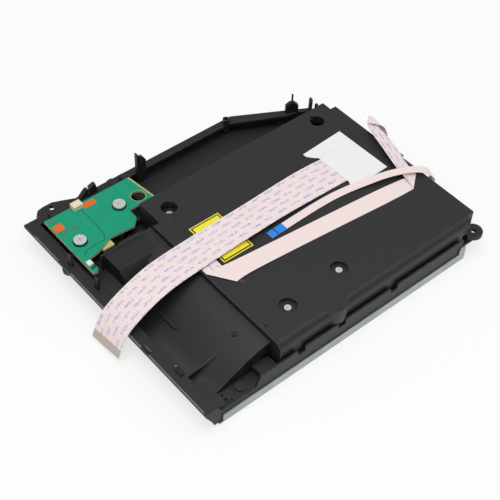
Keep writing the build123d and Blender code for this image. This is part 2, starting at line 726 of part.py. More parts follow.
# Raised cover over the traverse unit
cover_outline = [
    (seam_x, cover_front_y),
    (corner_x, cover_front_y),
    (corner_x, cover_back_y - 7.0),
    (corner_x - 4.1, cover_back_y - 7.0),
    (corner_x - 4.1, cover_back_y),
    (seam_x + board_bay_width, cover_back_y),
    (seam_x + board_bay_width, board_bay_y),
    (seam_x, board_bay_y),
]
with BuildPart() as cover_space:
    with BuildSketch(Plane.XY.offset(deck_top)):
        with BuildLine():
            Polyline(*cover_outline, close=True)
        make_face()
        offset(amount=-cover_skin, mode=Mode.REPLACE)
    extrude(amount=cover_top - cover_skin - deck_top)
    inner_edge = cover_space.edges().filter_by(Axis.X).group_by(Axis.Z)[-1].sort_by(Axis.Y)[0]
    fillet(inner_edge, cover_round - cover_skin)
with BuildPart() as deck_cover:
    with BuildSketch(Plane.XY.offset(deck_top)):
        with BuildLine():
            Polyline(*cover_outline, close=True)
        make_face()
    extrude(amount=cover_top - deck_top)
    outer_edge = deck_cover.edges().filter_by(Axis.X).group_by(Axis.Z)[-1].sort_by(Axis.Y)[0]
    fillet(outer_edge, cover_round)
    # Half-round bump on the front side
    post(corner_x - 107.0, corner_y + 2.0, 8.5, wall_top + 0.4, cover_top)
    # Bead along the seam, over the rounded edge
    with BuildSketch(Plane.YZ.offset(seam_x)):
        with BuildLine():
            bead_top = Line((board_bay_y, cover_top + bead), (cover_front_y + cover_round, cover_top + bead))
            bead_turn = RadiusArc(
                bead_top @ 1, (cover_front_y - bead, cover_top - cover_round), -(cover_round + bead)
            )
            Polyline(
                bead_turn @ 1,
                (cover_front_y - bead, wall_top),
                (cover_front_y + 1.0, wall_top),
                (cover_front_y + 1.0, cover_top - cover_round),
                (cover_front_y + cover_round, cover_top - 1.0),
                (board_bay_y, cover_top - 1.0),
                bead_top @ 0,
            )
        make_face()
    extrude(amount=bead_width)
    add(cover_space.part, mode=Mode.SUBTRACT)
    # Screw cups and the sleeve of the adjustment hole hang below the skin
    for x, y, pocket_radius, pocket_depth in cover_screw_spots:
        post(x, y, pocket_radius + 1.2, cover_top - pocket_depth - cover_skin, cover_top - 0.5)
        post(x, y, pocket_radius, cover_top - pocket_depth, cover_top, mode=Mode.SUBTRACT)
        post(x, y, screw_shank_radius, cover_top - pocket_depth - cover_skin, cover_top, mode=Mode.SUBTRACT)
    post(access_x, access_y, access_radius + 1.2, cover_top - 6.0, cover_top - 0.5)
    post(access_x, access_y, access_radius, cover_top - 6.0, cover_top, mode=Mode.SUBTRACT)
    block(
        access_x - 0.8,
        access_x + 0.8,
        access_y,
        access_y + access_radius + 1.0,
        cover_top - 2.0,
        cover_top,
        mode=Mode.SUBTRACT,
    )
    # Slot in the top for the wide ribbon, and slots in the right wall for the other two
    block(
        wide_slot_x - 0.4, wide_slot_x + 3.4, wide_ribbon_y - wide_ribbon_width / 2 - 1.0,
        wide_ribbon_y + wide_ribbon_width / 2 + 1.0, cover_top - cover_skin, cover_top, mode=Mode.SUBTRACT,
    )
    block(
        seam_x + 1.4,
        seam_x + 12.6,
        corner_y + 65.4,
        corner_y + 68.4,
        cover_top - cover_skin,
        cover_top,
        mode=Mode.SUBTRACT,
    )
    for middle, width in ((folded_slot_y, folded_ribbon_width), (narrow_slot_y, narrow_ribbon_width)):
        block(
            corner_x - cover_skin, corner_x, middle - width / 2 - 1.0, middle + width / 2 + 1.0,
            side_slot_z - 1.0, side_slot_z + 1.0, mode=Mode.SUBTRACT,
        )
    # The corner is cut away over the front lug
    block(corner_x - 6.0, corner_x, cover_front_y, corner_y, deck_top, cover_top, mode=Mode.SUBTRACT)
    notch_top = wall_top + 0.5
    block(corner_x - 11.0, corner_x, cover_front_y, corner_y + 2.6, deck_top, notch_top, mode=Mode.SUBTRACT)
    block(corner_x - 6.0 - cover_skin, corner_x, corner_y, corner_y + cover_skin, notch_top, cover_top)
    block(
        corner_x - 6.0 - cover_skin,
        corner_x - 6.0,
        cover_front_y + 2.0,
        corner_y + cover_skin,
        notch_top,
        cover_top - 2.0,
    )
    # Small dimples in the skin
    for x, y in ((seam_x + 3.4, corner_y + 10.9), (corner_x - 3.9, corner_y + 11.7)):
        post(x, y, 1.0, cover_top - 0.8, cover_top, mode=Mode.SUBTRACT)
    # Two tabs on the right side, the front one with a sloping top
    block(corner_x - 0.5, corner_x + 3.0, corner_y + 58.2, corner_y + 61.2, 20.0, 24.5)
    with BuildSketch(upright(corner_y + 53.2)):
        with BuildLine():
            Polyline(
                (corner_x - 0.5, 20.0),
                (corner_x - 0.5, 24.5),
                (corner_x + 1.0, 24.5),
                (corner_x + 3.0, 22.5),
                (corner_x + 3.0, 20.0),
                close=True,
            )
        make_face()
    extrude(amount=3.4)

# Entry tray: an S-shaped duct floor between the seam and the lip
tray_top_line = [
    (tray_left_x, tray_low),
    (tray_left_x + 5.0, tray_low + 0.4),
    (corner_x - 176.0, 14.0),
    (corner_x - 168.0, 18.0),
    (corner_x - 158.0, 22.0),
    (tray_right_x, tray_high),
]
with BuildPart() as entry_tray:
    with BuildSketch(upright(tray_back_y)):
        with BuildLine():
            surface = Spline(*tray_top_line)
            Polyline(
                surface @ 1,
                (tray_right_x, tray_high - tray_skin),
                (corner_x - 158.0, 22.0 - tray_skin),
                (corner_x - 168.0, 18.0 - tray_skin - 0.4),
                (corner_x - 176.0, 14.0 - tray_skin - 0.6),
                (tray_left_x + 6.0, tray_low - tray_skin),
                (tray_left_x, tray_low - tray_skin),
                surface @ 0,
            )
        make_face()
    extrude(amount=tray_back_y - tray_front_y)
    # Skirts at the front and back edges stand on the floor
    for skirt_y in (tray_front_y, tray_back_y - tray_skin):
        with BuildSketch(upright(skirt_y + tray_skin)):
            with BuildLine():
                skirt_line = Spline(*tray_top_line)
                Polyline(
                    skirt_line @ 1,
                    (tray_right_x, deck_top + 6.0),
                    (roller_zone_x, deck_top + 6.0),
                    (roller_zone_x, deck_top),
                    (tray_left_x + 6.0, deck_top),
                    (tray_left_x, deck_top - 1.0),
                    skirt_line @ 0,
                )
            make_face()
        extrude(amount=tray_skin)
    # The corner platform takes the tray's front left corner
    block(
        tray_left_x,
        platform_x + clearance,
        tray_front_y,
        platform_y + clearance,
        0,
        cover_top,
        mode=Mode.SUBTRACT,
    )
    # Rib that continues the lip's level into the ramp
    with BuildSketch(upright(corner_y + 18.9)):
        with BuildLine():
            Polyline(
                (tray_left_x, tray_low - 0.5),
                (tray_left_x, rim_top),
                (corner_x - 178.0, rim_top + 0.8),
                (corner_x - 169.6, rim_top + 3.8),
                (corner_x - 169.6, rim_top + 1.0),
                (corner_x - 177.0, rim_top - 3.0),
                close=True,
            )
        make_face()
    extrude(amount=thin_wall)
    # Low rib across the ramp
    block(corner_x - 177.0, corner_x - 175.6, corner_y + 45.5, corner_y + 59.0, 12.6, 15.4)
    # High shelf at the back: its slanting sheet, then the wall that closes its left end
    shelf_foot, shelf_front, shelf_back = corner_y + 79.0, corner_y + 90.0, tray_back_y - thin_wall
    for profile_points, shelf_end in (
        (
            [
                (shelf_foot, shelf_low),
                (shelf_front, shelf_top),
                (tray_back_y, shelf_top),
                (tray_back_y, shelf_top - tray_skin),
                (shelf_front + 0.8, shelf_top - tray_skin),
                (shelf_foot + 1.6, shelf_low - 0.4),
            ],
            tray_right_x,
        ),
        (
            [
                (shelf_foot, shelf_low),
                (shelf_front, shelf_top),
                (shelf_back, shelf_top),
                (shelf_back, shelf_low),
            ],
            shelf_x + thin_wall,
        ),
    ):
        with BuildSketch(Plane.YZ.offset(shelf_x)):
            with BuildLine():
                Polyline(*profile_points, close=True)
            make_face()
        extrude(amount=shelf_end - shelf_x)
    # Back wall up to the shelf's level
    block(shelf_x - 2.2, tray_right_x, shelf_back, tray_back_y, deck_top + 1.0, shelf_top + 0.7)
    # Moulding pip on the slope
    post(corner_x - 158.4, corner_y + 19.2, 1.5, 20.6, 22.9)
    # Room for the roller below
    block(
        roller_zone_x,
        tray_right_x,
        tray_front_y,
        tray_back_y,
        plate_thickness,
        deck_top + 6.0,
        mode=Mode.SUBTRACT,
    )

# Circuit board with its holes
board_outline = [
    (corner_x - 189.0, corner_y + 148.8),
    (corner_x - 131.0, corner_y + 148.7),
    (corner_x - 128.3, corner_y + 127.1),
    (corner_x - 146.2, corner_y + 127.0),
    (corner_x - 146.5, corner_y + 119.8),
    (corner_x - 151.0, corner_y + 115.2),
    (corner_x - 167.0, corner_y + 116.3),
    (corner_x - 177.6, corner_y + 111.7),
    (corner_x - 184.8, corner_y + 110.4),
    (corner_x - 185.1, corner_y + 101.8),
    (corner_x - 186.4, corner_y + 100.4),
    (corner_x - 189.2, corner_y + 100.5),
]
with BuildPart() as circuit_board:
    with BuildSketch(Plane.XY.offset(board_bottom)):
        with BuildLine():
            Polyline(*board_outline, close=True)
        make_face()
        with Locations(*board_post_spots, (corner_x - 135.7, corner_y + 133.0)):
            Circle(board_hole_radius, mode=Mode.SUBTRACT)
    extrude(amount=board_thickness)

with BuildPart() as board_socket:
    block(corner_x - 171.4, corner_x - 165.4, corner_y + 144.6, corner_y + 149.2, board_top, board_top + 3.0)
    block(
        corner_x - 170.4,
        corner_x - 166.4,
        corner_y + 147.6,
        corner_y + 149.2,
        board_top + 0.7,
        board_top + 2.3,
        mode=Mode.SUBTRACT,
    )

with BuildPart() as board_connector:
    block(corner_x - 174.6, corner_x - 167.2, corner_y + 112.0, corner_y + 118.0, 14.9, board_bottom)

with BuildPart() as board_sensor:
    block(corner_x - 188.4, corner_x - 185.4, corner_y + 105.6, corner_y + 109.0, board_top, board_top + 1.5)
    chamfer(board_sensor.faces().sort_by(Axis.Z)[-1].edges(), 0.3)


def screw_at(x, y, seat_z, head_radius, head_height, shank_radius, shank_length):
    """A pan-head screw, head up, with a cross recess."""
    post(x, y, shank_radius, seat_z - shank_length, seat_z)
    post(x, y, head_radius, seat_z, seat_z + head_height)
    for length, width in ((head_radius, 0.45), (0.45, head_radius)):
        block(
            x - length / 2, x + length / 2, y - width / 2, y + width / 2,
            seat_z + head_height * 0.5, seat_z + head_height, mode=Mode.SUBTRACT,
        )


with BuildPart() as board_screws:
    for x, y in board_post_spots:
        screw_at(x, y, board_post_top, board_screw_radius, 1.2, 0.9, 5.5)

with BuildPart() as cover_screws:
    for x, y, pocket_radius, pocket_depth in cover_screw_spots:
        seat = cover_top - pocket_depth
        screw_at(x, y, seat, screw_head_radius, screw_head_height, screw_shank_radius, 7.0)

# Ring that holds the steel disc clamp on the plate
with BuildPart() as clamp_retainer:
    post(spindle_x, spindle_y, clamp_radius + 3.6, plate_thickness, clamp_finger_z)
    post(spindle_x, spindle_y, clamp_radius + 0.5, plate_thickness, clamp_finger_z, mode=Mode.SUBTRACT)
    with BuildSketch(Plane.XY.offset(clamp_finger_z - 0.5)):
        with Locations((spindle_x, spindle_y)):
            with PolarLocations(clamp_radius + 0.2, 4, 45.0):
                Rectangle(3.2, 4.0)
    extrude(amount=0.5)

with BuildPart() as clamp_puck:
    post(spindle_x, spindle_y, clamp_radius, plate_thickness + 0.1, plate_thickness + 1.1)
    post(spindle_x, spindle_y, clamp_radius - 2.6, plate_thickness + 0.1, clamped_face - disc_thickness)
    post(spindle_x, spindle_y, 8.0, plate_thickness + 0.9, clamped_face, mode=Mode.SUBTRACT)

# Moving plate of the traverse unit, with its window for the lens
with BuildPart() as traverse_plate:
    with BuildSketch(Plane.XY.offset(frame_bottom)):
        with Locations((spindle_x + (frame_right - frame_left) / 2, spindle_y)):
            RectangleRounded(frame_left + frame_right, 2 * frame_half, 3.0)
        with Locations((spindle_x, spindle_y)):
            Circle(rotor_radius + 2.0, mode=Mode.SUBTRACT)
        with Locations((spindle_x - 39.0, spindle_y)):
            RectangleRounded(52.0, 28.0, 2.0, mode=Mode.SUBTRACT)
    extrude(amount=frame_thickness)
    for side in (-1, 1):
        with Locations((spindle_x - 24.5, spindle_y + side * (frame_half - 0.6), frame_top + 0.5)):
            Box(70.0, 1.2, 1.0)
    for x, y in damper_spots:
        post(spindle_x + x, spindle_y + y, 2.5, frame_top, damper_foot)
        post(spindle_x + x, spindle_y + y, damper_bore, frame_bottom, damper_foot, mode=Mode.SUBTRACT)

with BuildPart() as rubber_dampers:
    for x, y in damper_spots:
        post(spindle_x + x, spindle_y + y, damper_flange, damper_foot, ring_bottom)
        post(spindle_x + x, spindle_y + y, damper_neck, ring_bottom, ring_top)
        post(spindle_x + x, spindle_y + y, damper_flange, ring_top, damper_head)
        post(spindle_x + x, spindle_y + y, damper_bore, damper_foot, damper_head, mode=Mode.SUBTRACT)

with BuildPart() as damper_screws:
    for x, y in damper_spots:
        screw_at(
            spindle_x + x, spindle_y + y, damper_head, 2.6, 1.2, damper_bore, damper_head - frame_bottom
        )

# Lift frame round the traverse unit, with its guide pins and tabs
with BuildPart() as lift_frame:
    ring_x = spindle_x + (ring_right - ring_left) / 2
    with BuildSketch(Plane.XY.offset(ring_bottom)):
        with Locations((ring_x, spindle_y)):
            RectangleRounded(ring_left + ring_right, 2 * ring_half, 2.0)
        with Locations((spindle_x - 29.1, spindle_y)):
            Rectangle(80.2, 56.0, mode=Mode.SUBTRACT)
        with Locations((spindle_x + 3.5, spindle_y)):
            Rectangle(28.0, 40.0, mode=Mode.SUBTRACT)
        with Locations((spindle_x - 25.5, spindle_y + 29.5)):
            Rectangle(65.0, 10.0, mode=Mode.SUBTRACT)
        with Locations(*[(spindle_x + x, spindle_y + y) for x, y in damper_spots]):
            Circle(damper_neck + 0.1, mode=Mode.SUBTRACT)
    extrude(amount=ring_thickness)
    for side in (-1, 1):
        with Locations((ring_x, spindle_y + side * (ring_half - 0.6), (ring_top + ring_skirt_top) / 2)):
            Box(ring_left + ring_right - 8.0, 1.2, ring_skirt_top - ring_top)
    for spot_x in guide_pin_spots:
        along_y(
            spindle_x + spot_x,
            guide_pin_z,
            guide_pin_radius,
            spindle_y + ring_half - 0.4,
            cam_y + cam_thickness,
        )
    for spot_x in guide_tab_spots:
        block(
            spindle_x + spot_x - guide_tab_width / 2,
            spindle_x + spot_x + guide_tab_width / 2,
            spindle_y - ring_half - guide_tab_reach,
            spindle_y - ring_half + 0.6,
            ring_bottom,
            ring_skirt_top,
        )

# Slide cam with two sloping slots and a rack
with BuildPart() as slide_cam:
    block(
        spindle_x - cam_left,
        spindle_x + cam_right,
        cam_y,
        cam_y + cam_thickness,
        cam_bottom,
        deck_top + cam_height,
    )
    for spot_x in guide_pin_spots:
        with BuildSketch(upright(cam_y + cam_thickness)):
            slot_end = spindle_x + spot_x
            with Locations((slot_end - cam_travel / 2, guide_pin_z - lift_travel / 2)):
                SlotCenterToCenter(
                    (cam_travel**2 + lift_travel**2) ** 0.5,
                    2 * guide_pin_radius + 0.4,
                    rotation=degrees(asin(lift_travel / (cam_travel**2 + lift_travel**2) ** 0.5)),
                )
        extrude(amount=cam_thickness, mode=Mode.SUBTRACT)
    # Rack teeth on the back face
    with BuildSketch(Plane.XY.offset(cam_bottom)):
        for number in range(-8, 2):
            tooth_x = spindle_x + rack_pinion_x + (number - 0.5) * pi * rack_module
            with Locations((tooth_x, cam_y + cam_thickness + rack_depth / 2)):
                Trapezoid(1.6 * rack_module, rack_depth, 70.0)
    extrude(amount=rack_top - cam_bottom)

with BuildPart() as cam_pinion:
    with BuildSketch(Plane.XY.offset(cam_bottom)):
        with BuildLine():
            Polyline(
                *[
                    (spindle_x + rack_pinion_x + u, rack_pinion_y + v)
                    for u, v in gear_points(rack_teeth, rack_module, rack_tooth_at)
                ],
                close=True,
            )
        make_face()
        with Locations((spindle_x + rack_pinion_x, rack_pinion_y)):
            Circle(pivot_radius + running_fit, mode=Mode.SUBTRACT)
    extrude(amount=rack_top - cam_bottom)

# Spindle motor: the still part and the turntable with its rotor
with BuildPart() as spindle_motor:
    with BuildSketch(Plane.XY.offset(motor_base_z)):
        with Locations((spindle_x + 1.7, spindle_y)):
            RectangleRounded(22.6, 36.4, 3.0)
    extrude(amount=1.0)
    post(spindle_x, spindle_y, 4.0, motor_base_z + 1.0, motor_base_z + 2.6)
    bore_top = motor_base_z + 2.0
    post(spindle_x, spindle_y, spindle_radius + running_fit, motor_base_z, bore_top, mode=Mode.SUBTRACT)
    for x, y in ((-7.0, -15.9), (-7.0, 15.9), (10.0, -14.3), (10.0, 14.3)):
        post(spindle_x + x, spindle_y + y, 1.6, frame_top, motor_base_z)

with BuildPart() as turntable:
    post(spindle_x, spindle_y, turntable_radius, turntable_face, turntable_face + 1.6)
    post(spindle_x, spindle_y, rotor_radius, turntable_face + 1.6, rotor_top)
    with BuildSketch(Plane.XY.offset(turntable_face)):
        with Locations((spindle_x, spindle_y)):
            Circle(7.4)
    extrude(amount=-2.0, taper=20.0)
    post(spindle_x, spindle_y, spindle_radius, rotor_top, motor_base_z + 1.8)

# Rods, pickup carriage and lead screw
with BuildPart() as rod_holders:
    for x0, x1 in ((rod_start - 1.0, rod_start + 1.0), (rod_end - 2.0, rod_end + 1.0)):
        for side in (-1, 1):
            y = spindle_y + side * rod_offset
            block(spindle_x + x0, spindle_x + x1, y - 2.2, y + 2.2, frame_top, holder_top)
    for side in (-1, 1):
        along_x(
            spindle_y + side * rod_offset, rod_z, rod_radius, spindle_x + rod_start, spindle_x + rod_end,
            mode=Mode.SUBTRACT,
        )

with BuildPart() as main_guide_rod:
    along_x(spindle_y + rod_offset, rod_z, rod_radius, spindle_x + rod_start, spindle_x + rod_end)

with BuildPart() as second_guide_rod:
    along_x(spindle_y - rod_offset, rod_z, rod_radius, spindle_x + rod_start, spindle_x + rod_end)

with BuildPart() as pickup_carriage:
    lens_x = spindle_x - lens_inner
    block(lens_x - 8.5, lens_x + 9.5, spindle_y - 15.0, spindle_y + 15.0, frame_top + 0.4, carriage_top)
    for y0, y1 in ((-27.0, -15.0), (15.0, 27.0)):
        block(lens_x - 6.0, lens_x + 7.0, spindle_y + y0, spindle_y + y1, frame_top + 0.2, holder_top)
    post(lens_x, spindle_y, 6.5, lens_z + 0.6, frame_top + 0.4)
    post(lens_x, spindle_y, lens_radius + 0.1, lens_z + 0.6, lens_z + 2.0, mode=Mode.SUBTRACT)
    for side in (-1, 1):
        along_x(
            spindle_y + side * rod_offset, rod_z, rod_radius + running_fit, lens_x - 9.0, lens_x + 10.0,
            mode=Mode.SUBTRACT,
        )

with BuildPart() as objective_lens:
    post(lens_x, spindle_y, lens_radius, lens_z + 0.3, lens_z + 2.0)
    fillet(objective_lens.edges().group_by(Axis.Z)[0], 0.7)

with BuildPart() as rack_follower:
    follower_z = lead_z + lead_radius + 0.2
    block(lens_x + 2.0, lens_x + 7.0, spindle_y + 18.0, spindle_y + 26.0, holder_top, follower_z)
    block(lens_x + 2.0, lens_x + 7.0, spindle_y + 18.0, spindle_y + 33.0, follower_z, follower_z + 1.0)
    block(
        lens_x + 2.0, lens_x + 7.0, spindle_y + lead_offset + lead_radius + 0.3, spindle_y + 33.0,
        lead_z - 1.6, follower_z,
    )

with BuildPart() as lead_screw:
    lead_y = spindle_y + lead_offset
    along_x(lead_y, lead_z, 1.0, spindle_x - lead_end, spindle_x - 5.4)
    along_x(lead_y, lead_z, lead_radius - 0.35, spindle_x - lead_end + 2.2, spindle_x - 8.4)
    for number in range(14):
        x = spindle_x - lead_end + 3.0 + 3.0 * number
        along_x(lead_y, lead_z, lead_radius, x, x + 1.5)

with BuildPart() as lead_bearing:
    bearing_x = spindle_x - lead_end + 1.8
    block(bearing_x - 2.2, bearing_x, lead_y - 1.9, lead_y + 1.9, frame_top, lead_z + 1.9)
    along_x(lead_y, lead_z, 1.0 + running_fit, bearing_x - 1.9, bearing_x, mode=Mode.SUBTRACT)

with BuildPart() as sled_motor:
    along_x(lead_y, lead_z, sled_motor_radius, spindle_x - 8.0, spindle_x + 6.0)
    block(spindle_x - 7.0, spindle_x + 5.0, lead_y - 3.2, lead_y + 3.2, frame_top, lead_z - 1.0)
    along_x(lead_y, lead_z, 1.0 + running_fit, spindle_x - 8.0, spindle_x - 5.2, mode=Mode.SUBTRACT)

# Loading roller, its bushes and its gears
with BuildPart() as roller_shaft:
    along_y(roller_x, roller_z, shaft_radius, front_bearing_y - 4.6, gear_plane_a + gear_width)

with BuildPart() as rubber_rollers:
    for y0, y1, r0, r1 in (
        (corner_y + 3.4, spindle_y - 1.0, roller_end_radius, roller_middle_radius),
        (spindle_y + 1.0, corner_y + 112.6, roller_middle_radius, roller_end_radius),
    ):
        with BuildSketch(Plane.YZ.offset(roller_x)):
            with BuildLine():
                Polyline(
                    (y0, roller_z + shaft_radius),
                    (y0, roller_z + r0),
                    (y1, roller_z + r1),
                    (y1, roller_z + shaft_radius),
                    close=True,
                )
            make_face()
        revolve(axis=Axis((roller_x, 0, roller_z), (0, 1, 0)))

with BuildPart() as roller_bushes:
    for y0, y1 in (
        (front_bearing_y - 3.0, front_bearing_y),
        (bearing_wall_y, bearing_wall_y + bearing_wall),
    ):
        along_y(roller_x, roller_z, bush_radius, y0, y1)
        along_y(roller_x, roller_z, shaft_radius + running_fit, y0, y1, mode=Mode.SUBTRACT)

with BuildPart() as roller_gear:
    gear_back = gear_plane_a + gear_width
    gear_along_y(
        roller_x, roller_z, roller_teeth, gear_module, roller_to_wheel, gear_plane_a, gear_back, shaft_radius
    )

with BuildPart() as wheel_gear:
    gear_along_y(
        wheel_x, wheel_z, small_teeth, gear_module, roller_to_wheel + 180 + 18, gear_plane_a, gear_plane_b,
        pin_radius + running_fit,
    )
    gear_along_y(
        wheel_x, wheel_z, wheel_teeth, gear_module, wheel_to_drive, gear_plane_b, gear_plane_b + gear_width,
        pin_radius + running_fit,
    )

with BuildPart() as drive_gear:
    gear_along_y(
        drive_x, drive_z, small_teeth, gear_module, wheel_to_drive + 180 + 18, gear_plane_b, gear_plane_c,
        pin_radius + running_fit,
    )
    gear_along_y(
        drive_x, drive_z, drive_teeth, gear_module, drive_to_pinion, gear_plane_c, gear_plane_c + gear_width,
        pin_radius + running_fit,
    )

with BuildPart() as gear_pins:
    for x, z in ((wheel_x, wheel_z), (drive_x, drive_z)):
        along_y(x, z, pin_radius, bearing_wall_y, motor_wall_y + motor_wall)

with BuildPart() as motor_pinion:
    gear_along_y(
        pinion_x, pinion_z, pinion_teeth, gear_module, drive_to_pinion + 180 + 22.5, gear_plane_c,
        gear_plane_c + gear_width, motor_shaft_radius,
    )
    along_y(pinion_x, pinion_z, motor_shaft_radius, gear_plane_c, motor_wall_y + motor_wall + 3.0)

with BuildPart() as loading_motor:
    motor_y = motor_wall_y + motor_wall
    block(pinion_x - 6.0, pinion_x + 6.0, motor_y, motor_y + 12.5, pinion_z - 5.0, pinion_z + 5.0)
    fillet(loading_motor.edges().filter_by(Axis.Y), 2.0)
    along_y(pinion_x, pinion_z, 2.1, motor_wall_y + 0.2, motor_y)
    shaft_bore = motor_shaft_radius + running_fit
    along_y(pinion_x, pinion_z, shaft_bore, motor_wall_y + 0.2, motor_y + 4.0, mode=Mode.SUBTRACT)

# Arm that stops the disc over the spindle
with BuildPart() as disc_stop_arm:
    arm_bottom = deck_top + 0.2
    pin_x = stop_x + stop_reach * cos(radians(stop_angle))
    pin_y = stop_y + stop_reach * sin(radians(stop_angle))
    with BuildSketch(Plane.XY.offset(arm_bottom)):
        with Locations(((stop_x + pin_x) / 2, (stop_y + pin_y) / 2)):
            SlotCenterToCenter(stop_reach, arm_width, rotation=stop_angle)
        with Locations((stop_x, stop_y)):
            Circle(stop_pivot_radius + 2.0)
            Circle(stop_pivot_radius + running_fit, mode=Mode.SUBTRACT)
    extrude(amount=arm_thickness)
    post(pin_x, pin_y, stop_pin_radius, plate_thickness + 1.0, arm_bottom)

# Ribbon cables
with BuildPart() as wide_ribbon:
    ribbon((wide_slot_x + 3.2, wide_ribbon_y), 180 - wide_drift, wide_route, wide_ribbon_width)

with BuildPart() as folded_ribbon:
    with BuildSketch(Plane.XY.offset(cover_top + 0.1)):
        with BuildLine():
            Polyline(
                (seam_x + 1.5, corner_y + 66.5),
                (seam_x + 12.5, corner_y + 66.5),
                (seam_x + 12.5, corner_y + 55.2),
                (corner_x - 60.0, corner_y + 49.0),
                (corner_x - 4.5, corner_y + 41.5),
                (corner_x - 13.9, corner_y + 33.9),
                (corner_x - 60.0, corner_y + 37.9),
                (seam_x + 12.0, corner_y + 43.6),
                (seam_x + 1.5, corner_y + 57.0),
                close=True,
            )
        make_face()
    extrude(amount=ribbon_thickness)
    ribbon(folded_start, folded_drift, folded_route, folded_ribbon_width)
    with Locations((corner_x + 3.5, folded_slot_y, side_slot_z)):
        Box(9.0, folded_ribbon_width, ribbon_thickness)

with BuildPart() as narrow_ribbon:
    in_plan = [(x, y) for x, y, z in narrow_route]
    with BuildSketch(Plane.XY.offset(side_slot_z)):
        with BuildLine():
            FilletPolyline(*in_plan, radius=bend_radii(in_plan))
        trace(line_width=narrow_ribbon_width)
    extrude(amount=cover_top - side_slot_z + 6.0)
    from_front = [(x, z) for x, y, z in narrow_route]
    with BuildSketch(upright(back_y)):
        with BuildLine():
            FilletPolyline(*from_front, radius=bend_radii(from_front))
        trace(line_width=ribbon_thickness)
    extrude(amount=case_depth, mode=Mode.INTERSECT)
    block(
        corner_x - 1.0,
        corner_x + 6.6,
        narrow_slot_y - narrow_ribbon_width / 2,
        narrow_slot_y + narrow_ribbon_width / 2,
        side_slot_z - 0.15,
        side_slot_z + 0.15,
    )

parts = {
    "metal_plate": metal_plate,
    "main_chassis": main_chassis,
    "deck_cover": deck_cover,
    "entry_tray": entry_tray,
    "circuit_board": circuit_board,
    "board_socket": board_socket,
    "board_connector": board_connector,
    "board_sensor": board_sensor,
    "board_screws": board_screws,
    "cover_screws": cover_screws,
    "clamp_retainer": clamp_retainer,
    "clamp_puck": clamp_puck,
    "traverse_plate": traverse_plate,
    "rubber_dampers": rubber_dampers,
    "damper_screws": damper_screws,
    "lift_frame": lift_frame,
    "slide_cam": slide_cam,
    "cam_pinion": cam_pinion,
    "spindle_motor": spindle_motor,
    "turntable": turntable,
    "rod_holders": rod_holders,
    "main_guide_rod": main_guide_rod,
    "second_guide_rod": second_guide_rod,
    "pickup_carriage": pickup_carriage,
    "objective_lens": objective_lens,
    "rack_follower": rack_follower,
    "lead_screw": lead_screw,
    "lead_bearing": lead_bearing,
    "sled_motor": sled_motor,
    "roller_shaft": roller_shaft,
    "rubber_rollers": rubber_rollers,
    "roller_bushes": roller_bushes,
    "roller_gear": roller_gear,
    "wheel_gear": wheel_gear,
    "drive_gear": drive_gear,
    "gear_pins": gear_pins,
    "motor_pinion": motor_pinion,
    "loading_motor": loading_motor,
    "disc_stop_arm": disc_stop_arm,
    "wide_ribbon": wide_ribbon,
    "folded_ribbon": folded_ribbon,
    "narrow_ribbon": narrow_ribbon,
}
for name, piece in parts.items():
    piece.part.label = name
    export_step(piece.part, f"parts/{name}.step")
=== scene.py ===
"""Slot-loading optical drive of a game console: its finishes, ribbons, labels and board details."""
import math

import bpy
from mathutils import Matrix, Vector


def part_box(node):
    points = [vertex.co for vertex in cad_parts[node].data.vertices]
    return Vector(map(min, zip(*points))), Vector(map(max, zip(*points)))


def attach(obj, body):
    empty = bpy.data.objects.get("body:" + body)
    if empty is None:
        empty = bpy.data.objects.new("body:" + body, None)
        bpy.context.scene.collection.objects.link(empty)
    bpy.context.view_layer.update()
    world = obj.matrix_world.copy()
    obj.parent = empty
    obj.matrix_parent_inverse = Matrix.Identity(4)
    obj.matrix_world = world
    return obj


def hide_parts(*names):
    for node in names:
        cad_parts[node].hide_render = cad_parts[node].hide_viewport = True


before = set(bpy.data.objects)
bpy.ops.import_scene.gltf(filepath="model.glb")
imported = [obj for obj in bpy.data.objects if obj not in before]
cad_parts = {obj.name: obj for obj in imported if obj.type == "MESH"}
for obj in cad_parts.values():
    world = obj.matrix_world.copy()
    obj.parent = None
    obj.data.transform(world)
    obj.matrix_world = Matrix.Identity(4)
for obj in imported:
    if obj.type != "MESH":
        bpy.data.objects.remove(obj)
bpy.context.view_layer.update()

mm = 0.001

# The raised cover's right front corner is the landmark for every place below. The cover reaches
# this far back from it, and two small tabs stand out of the cover's right side by this much.
cover_depth = 121.0
side_tab_reach = 3.0
cover_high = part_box("deck_cover")[1]
corner_x = cover_high.x / mm - side_tab_reach
corner_y = cover_high.y / mm - cover_depth

# Heights above the table of what carries the pieces below
cover_top = 26.0
lip_top = 14.0
board_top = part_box("circuit_board")[1].z / mm


def at(x, y, z):
    """A place in metres, from millimetres past the cover's corner and above the table."""
    return Vector(((corner_x + x) * mm, (corner_y + y) * mm, z * mm))


# Camera: the photograph's viewpoint, in millimetres from the corner, and its axes
camera_x, camera_y, camera_z = -393.17, -248.55, 479.89
camera_right = Vector((0.7645, -0.6438, 0.0327)).normalized()
camera_forward = Vector((0.4505, 0.4973, -0.7415)).normalized()
camera_lens, sensor_width = 81.64, 36.0


def set_camera():
    """The scene's camera, at the photograph's viewpoint."""
    up = camera_right.cross(camera_forward)
    turn = Matrix((camera_right, up, -camera_forward)).transposed().to_4x4()
    data = bpy.data.cameras.new("photo_camera")
    data.lens = camera_lens
    data.sensor_width = sensor_width
    data.clip_start = 0.01
    camera = bpy.data.objects.new("photo_camera", data)
    camera.matrix_world = Matrix.Translation(at(camera_x, camera_y, camera_z)) @ turn
    bpy.context.scene.collection.objects.link(camera)
    bpy.context.scene.camera = camera


set_camera()


# Materials

# Nearly all of a noise pattern lies between these values
noise_low, noise_high = 0.35, 0.65


